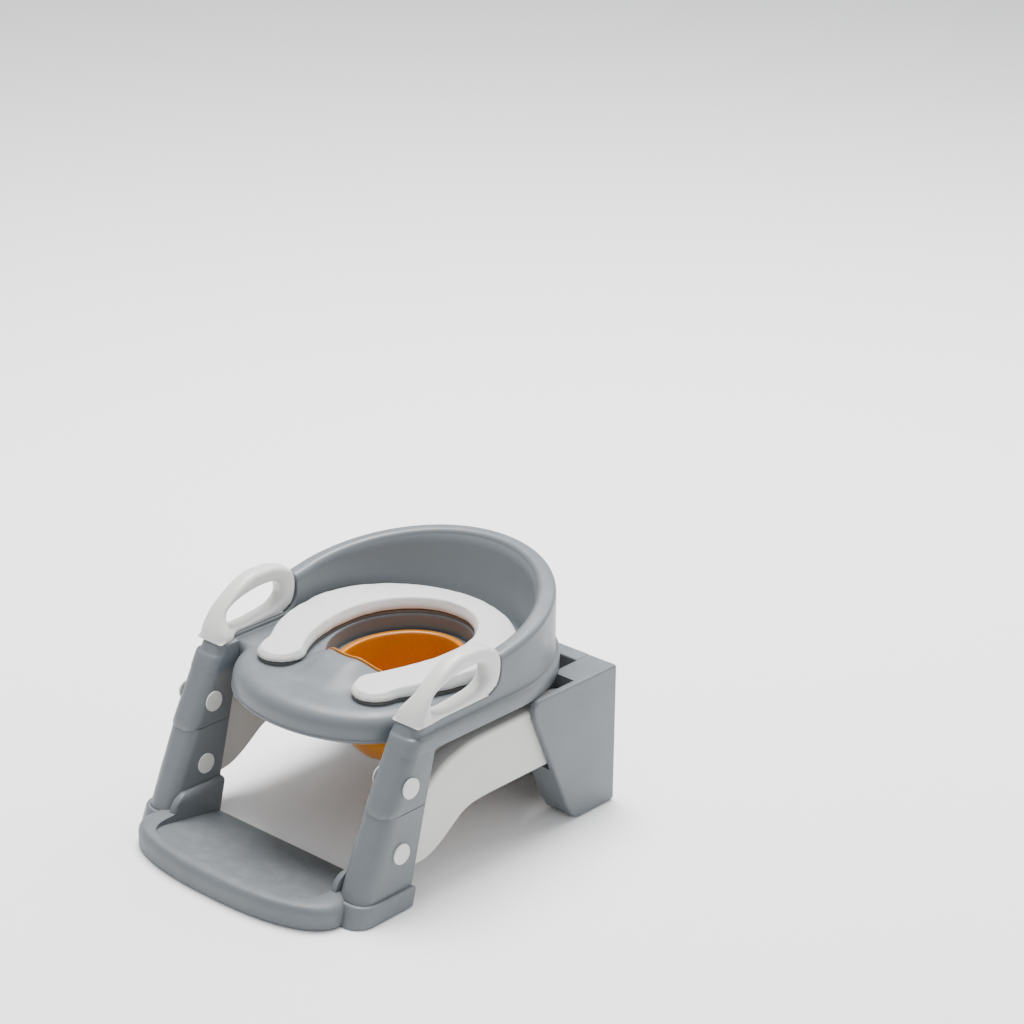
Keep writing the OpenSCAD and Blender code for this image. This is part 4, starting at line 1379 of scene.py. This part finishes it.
def build_camera(scene):
    """Long-lens camera above the chair's front left corner; the chair sits low and left in its frame."""
    azimuth, elevation, roll = (math.radians(v) for v in VIEW_ANGLES)
    back = Vector(
        (
            math.sin(azimuth) * math.cos(elevation),
            -math.cos(azimuth) * math.cos(elevation),
            math.sin(elevation),
        )
    )
    right = Vector((math.cos(azimuth), math.sin(azimuth), 0.0))
    up = back.cross(right)
    right, up = right * math.cos(roll) + up * math.sin(roll), up * math.cos(roll) - right * math.sin(roll)
    basis = Matrix((right, up, back)).transposed()
    aim = Vector((*OFF_AXIS, -1.0)).normalized()
    swing = aim.rotation_difference(Vector((0.0, 0.0, -1.0)))
    data = bpy.data.cameras.new("Camera")
    data.sensor_width = SENSOR_WIDTH
    data.lens = LENS_LENGTH
    data.clip_start, data.clip_end = 0.05, 60.0
    camera = bpy.data.objects.new("Camera", data)
    camera.rotation_mode = "QUATERNION"
    camera.location = Vector(LOOK_AT) + back * VIEW_DISTANCE
    camera.rotation_quaternion = basis.to_quaternion() @ swing
    scene.collection.objects.link(camera)
    scene.camera = camera


# ---- sizes, operators and panel ----
def length(name, description, default, low, high):
    return bpy.props.FloatProperty(
        name=name,
        description=description,
        default=default,
        min=low,
        max=high,
        subtype="DISTANCE",
        unit="LENGTH",
        precision=5,
    )


def colour(name, description, default):
    return bpy.props.FloatVectorProperty(
        name=name, description=description, default=default, min=0.0, max=1.0, size=3, subtype="COLOR_GAMMA"
    )


class PottySizes(bpy.types.PropertyGroup):
    """Small sizes that only the looks have."""

    bead: length("Bead", "How far the bead along the nose's lower edge stands out", 0.0015, 0.0, 0.004)
    guard_height: length("Guard height", "Height of the splash guard above the deck", 0.017, 0.0, 0.024)
    rim_round: length("Rim rounding", "Rounding of the wall's rim", 0.0075, 0.002, 0.01)
    lip_drop: length("Lip drop", "How far the leg's lip curves down in the middle", 0.0025, 0.0, 0.006)
    dot_pitch: length("Dot pitch", "Distance between the tread's dots", 0.0042, 0.003, 0.01)
    dot_width: length("Dot width", "Width of one of the tread's dots", 0.0016, 0.0008, 0.004)
    cushion_growth: length(
        "Cushion swell", "Most that the cushion swells past its pressed shape", 0.006, 0.001, 0.012
    )


class PottyColours(bpy.types.PropertyGroup):
    """Screen colours of the plastics and the cover."""

    shell: colour("Shell", "Colour of the seat, front legs and step", (0.375, 0.397, 0.415))
    white_parts: colour("White parts", "Colour of the handles, bolts and stand", (0.79, 0.79, 0.78))
    folding_legs: colour("Folding legs", "Colour of the folding legs", (0.765, 0.76, 0.745))
    pot: colour("Pot", "Colour of the pot", (0.74, 0.455, 0.02))
    cushion: colour("Cushion", "Colour of the cushion's cover", (0.80, 0.805, 0.80))


class PottyLights(bpy.types.PropertyGroup):
    """Strength of the studio's light."""

    room_light: bpy.props.FloatProperty(
        name="Room light", description="Strength of the even room light", default=0.78, min=0.0
    )
    key_light: bpy.props.FloatProperty(
        name="Key light", description="Power of the main lamp in watts", default=300.0, min=0.0
    )


class FinishesOperator(bpy.types.Operator):
    """Make the shared effects and the materials"""

    bl_idname = "potty_chair.finishes"
    bl_label = "Make the finishes"

    def execute(self, context):
        scene = context.scene
        make_finishes(scene.potty_colours)
        return {"FINISHED"}


class SeatOperator(bpy.types.Operator):
    """Build the seat's deck, wall and upper front legs"""

    bl_idname = "potty_chair.seat"
    bl_label = "Build the seat"

    def execute(self, context):
        scene = context.scene
        build_deck(scene.potty_sizes)
        build_wall(scene.potty_sizes)
        for side, word in SIDES:
            build_upper_leg(side, word, scene.potty_sizes)
        return {"FINISHED"}


class StepOperator(bpy.types.Operator):
    """Build the lower front legs, the step with its collars and the step's dots"""

    bl_idname = "potty_chair.step"
    bl_label = "Build the step"

    def execute(self, context):
        scene = context.scene
        build_step(scene.potty_sizes)
        for side, word in SIDES:
            build_lower_leg(side, word)
        return {"FINISHED"}


class HandlesOperator(bpy.types.Operator):
    """Build the two handles"""

    bl_idname = "potty_chair.handles"
    bl_label = "Build the handles"

    def execute(self, context):
        for side, word in SIDES:
            build_handle(side, word)
        return {"FINISHED"}


class BoltsOperator(bpy.types.Operator):
    """Build the bolts and nuts of the front legs"""

    bl_idname = "potty_chair.bolts"
    bl_label = "Build the bolts"

    def execute(self, context):
        for side, word in SIDES:
            for joint, place in (("upper", UPPER_BOLT), ("knee", KNEE)):
                build_fastener(f"{joint}_knob_{word}", f"{joint}_bolt_{word}", side, True, place)
                build_fastener(f"{joint}_cap_{word}", f"{joint}_nut_{word}", side, False, place)
        return {"FINISHED"}


class PotOperator(bpy.types.Operator):
    """Build the pot and its splash lip"""

    bl_idname = "potty_chair.pot"
    bl_label = "Build the pot"

    def execute(self, context):
        scene = context.scene
        build_pot(scene.potty_sizes)
        return {"FINISHED"}


class FoldingLegsOperator(bpy.types.Operator):
    """Build the two folding legs"""

    bl_idname = "potty_chair.folding_legs"
    bl_label = "Build the folding legs"

    def execute(self, context):
        for side, word in SIDES:
            build_folding_leg(side, word)
        return {"FINISHED"}


class StandOperator(bpy.types.Operator):
    """Build the rear stand with its plate, ribs and dots"""

    bl_idname = "potty_chair.stand"
    bl_label = "Build the stand"

    def execute(self, context):
        scene = context.scene
        build_stand(scene.potty_sizes)
        return {"FINISHED"}


class CushionOperator(bpy.types.Operator):
    """Build the soft cushion"""

    bl_idname = "potty_chair.cushion"
    bl_label = "Build the cushion"

    def execute(self, context):
        scene = context.scene
        build_cushion(scene.potty_sizes)
        return {"FINISHED"}


class SmallPartsOperator(bpy.types.Operator):
    """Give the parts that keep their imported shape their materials"""

    bl_idname = "potty_chair.small_parts"
    bl_label = "Finish the small parts"

    def execute(self, context):
        for key, names in SMALL_PARTS.items():
            for name in names:
                dress(name, MATERIALS[key])
        return {"FINISHED"}


class StageOperator(bpy.types.Operator):
    """Build the floor, the lights and the camera"""

    bl_idname = "potty_chair.stage"
    bl_label = "Build the stage"

    def execute(self, context):
        scene = context.scene
        build_stage(scene.potty_lights)
        return {"FINISHED"}


class PottyPanel(bpy.types.Panel):
    """Lists the sizes, the colours and the builders"""

    bl_idname = "VIEW3D_PT_potty_chair"
    bl_label = "Potty Chair"
    bl_space_type = "VIEW_3D"
    bl_region_type = "UI"
    bl_category = "Potty Chair"

    def draw(self, context):
        layout = self.layout
        scene = context.scene
        for group in (scene.potty_sizes, scene.potty_colours, scene.potty_lights):
            for name in group.__annotations__:
                layout.prop(group, name)
        for operator in OPERATORS:
            layout.operator(operator.bl_idname, text=operator.bl_label)


SIDES = ((1, "left"), (-1, "right"))
SMALL_PARTS = {
    # painted shade: the cushion board takes the dark finish that stands in for the shadow under the cushion
    "board": ("cushion_board",),
    "steel": ("handle_screws", "ankle_pin_left", "ankle_pin_right"),
    "bush": ("knee_bush_left", "knee_bush_right"),
    "rubber": ("foot_strips", "stand_pads", "step_feet"),
}
OPERATORS = (
    FinishesOperator,
    SeatOperator,
    StepOperator,
    HandlesOperator,
    BoltsOperator,
    PotOperator,
    FoldingLegsOperator,
    StandOperator,
    CushionOperator,
    SmallPartsOperator,
    StageOperator,
)
CLASSES = (PottySizes, PottyColours, PottyLights) + OPERATORS + (PottyPanel,)
GROUPS = (("potty_sizes", PottySizes), ("potty_colours", PottyColours), ("potty_lights", PottyLights))


def dress(name, material):
    """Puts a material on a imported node's own slots, leaving its mesh alone."""
    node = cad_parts[name]
    for slot in node.material_slots:
        slot.link = "OBJECT"
        slot.material = material


def register():
    for cls in CLASSES:
        bpy.utils.register_class(cls)
    for name, cls in GROUPS:
        setattr(bpy.types.Scene, name, bpy.props.PointerProperty(type=cls))


def unregister():
    for name, _ in GROUPS:
        delattr(bpy.types.Scene, name)
    for cls in reversed(CLASSES):
        bpy.utils.unregister_class(cls)


def plain(bounds):
    """Bounds as plain lists of numbers."""
    return [[float(v) for v in corner] for corner in bounds]


def main():
    """Runs every builder in turn."""
    register()
    for operator in OPERATORS:
        group, name = operator.bl_idname.split(".")
        getattr(getattr(bpy.ops, group), name)()


if __name__ == "__main__":
    main()
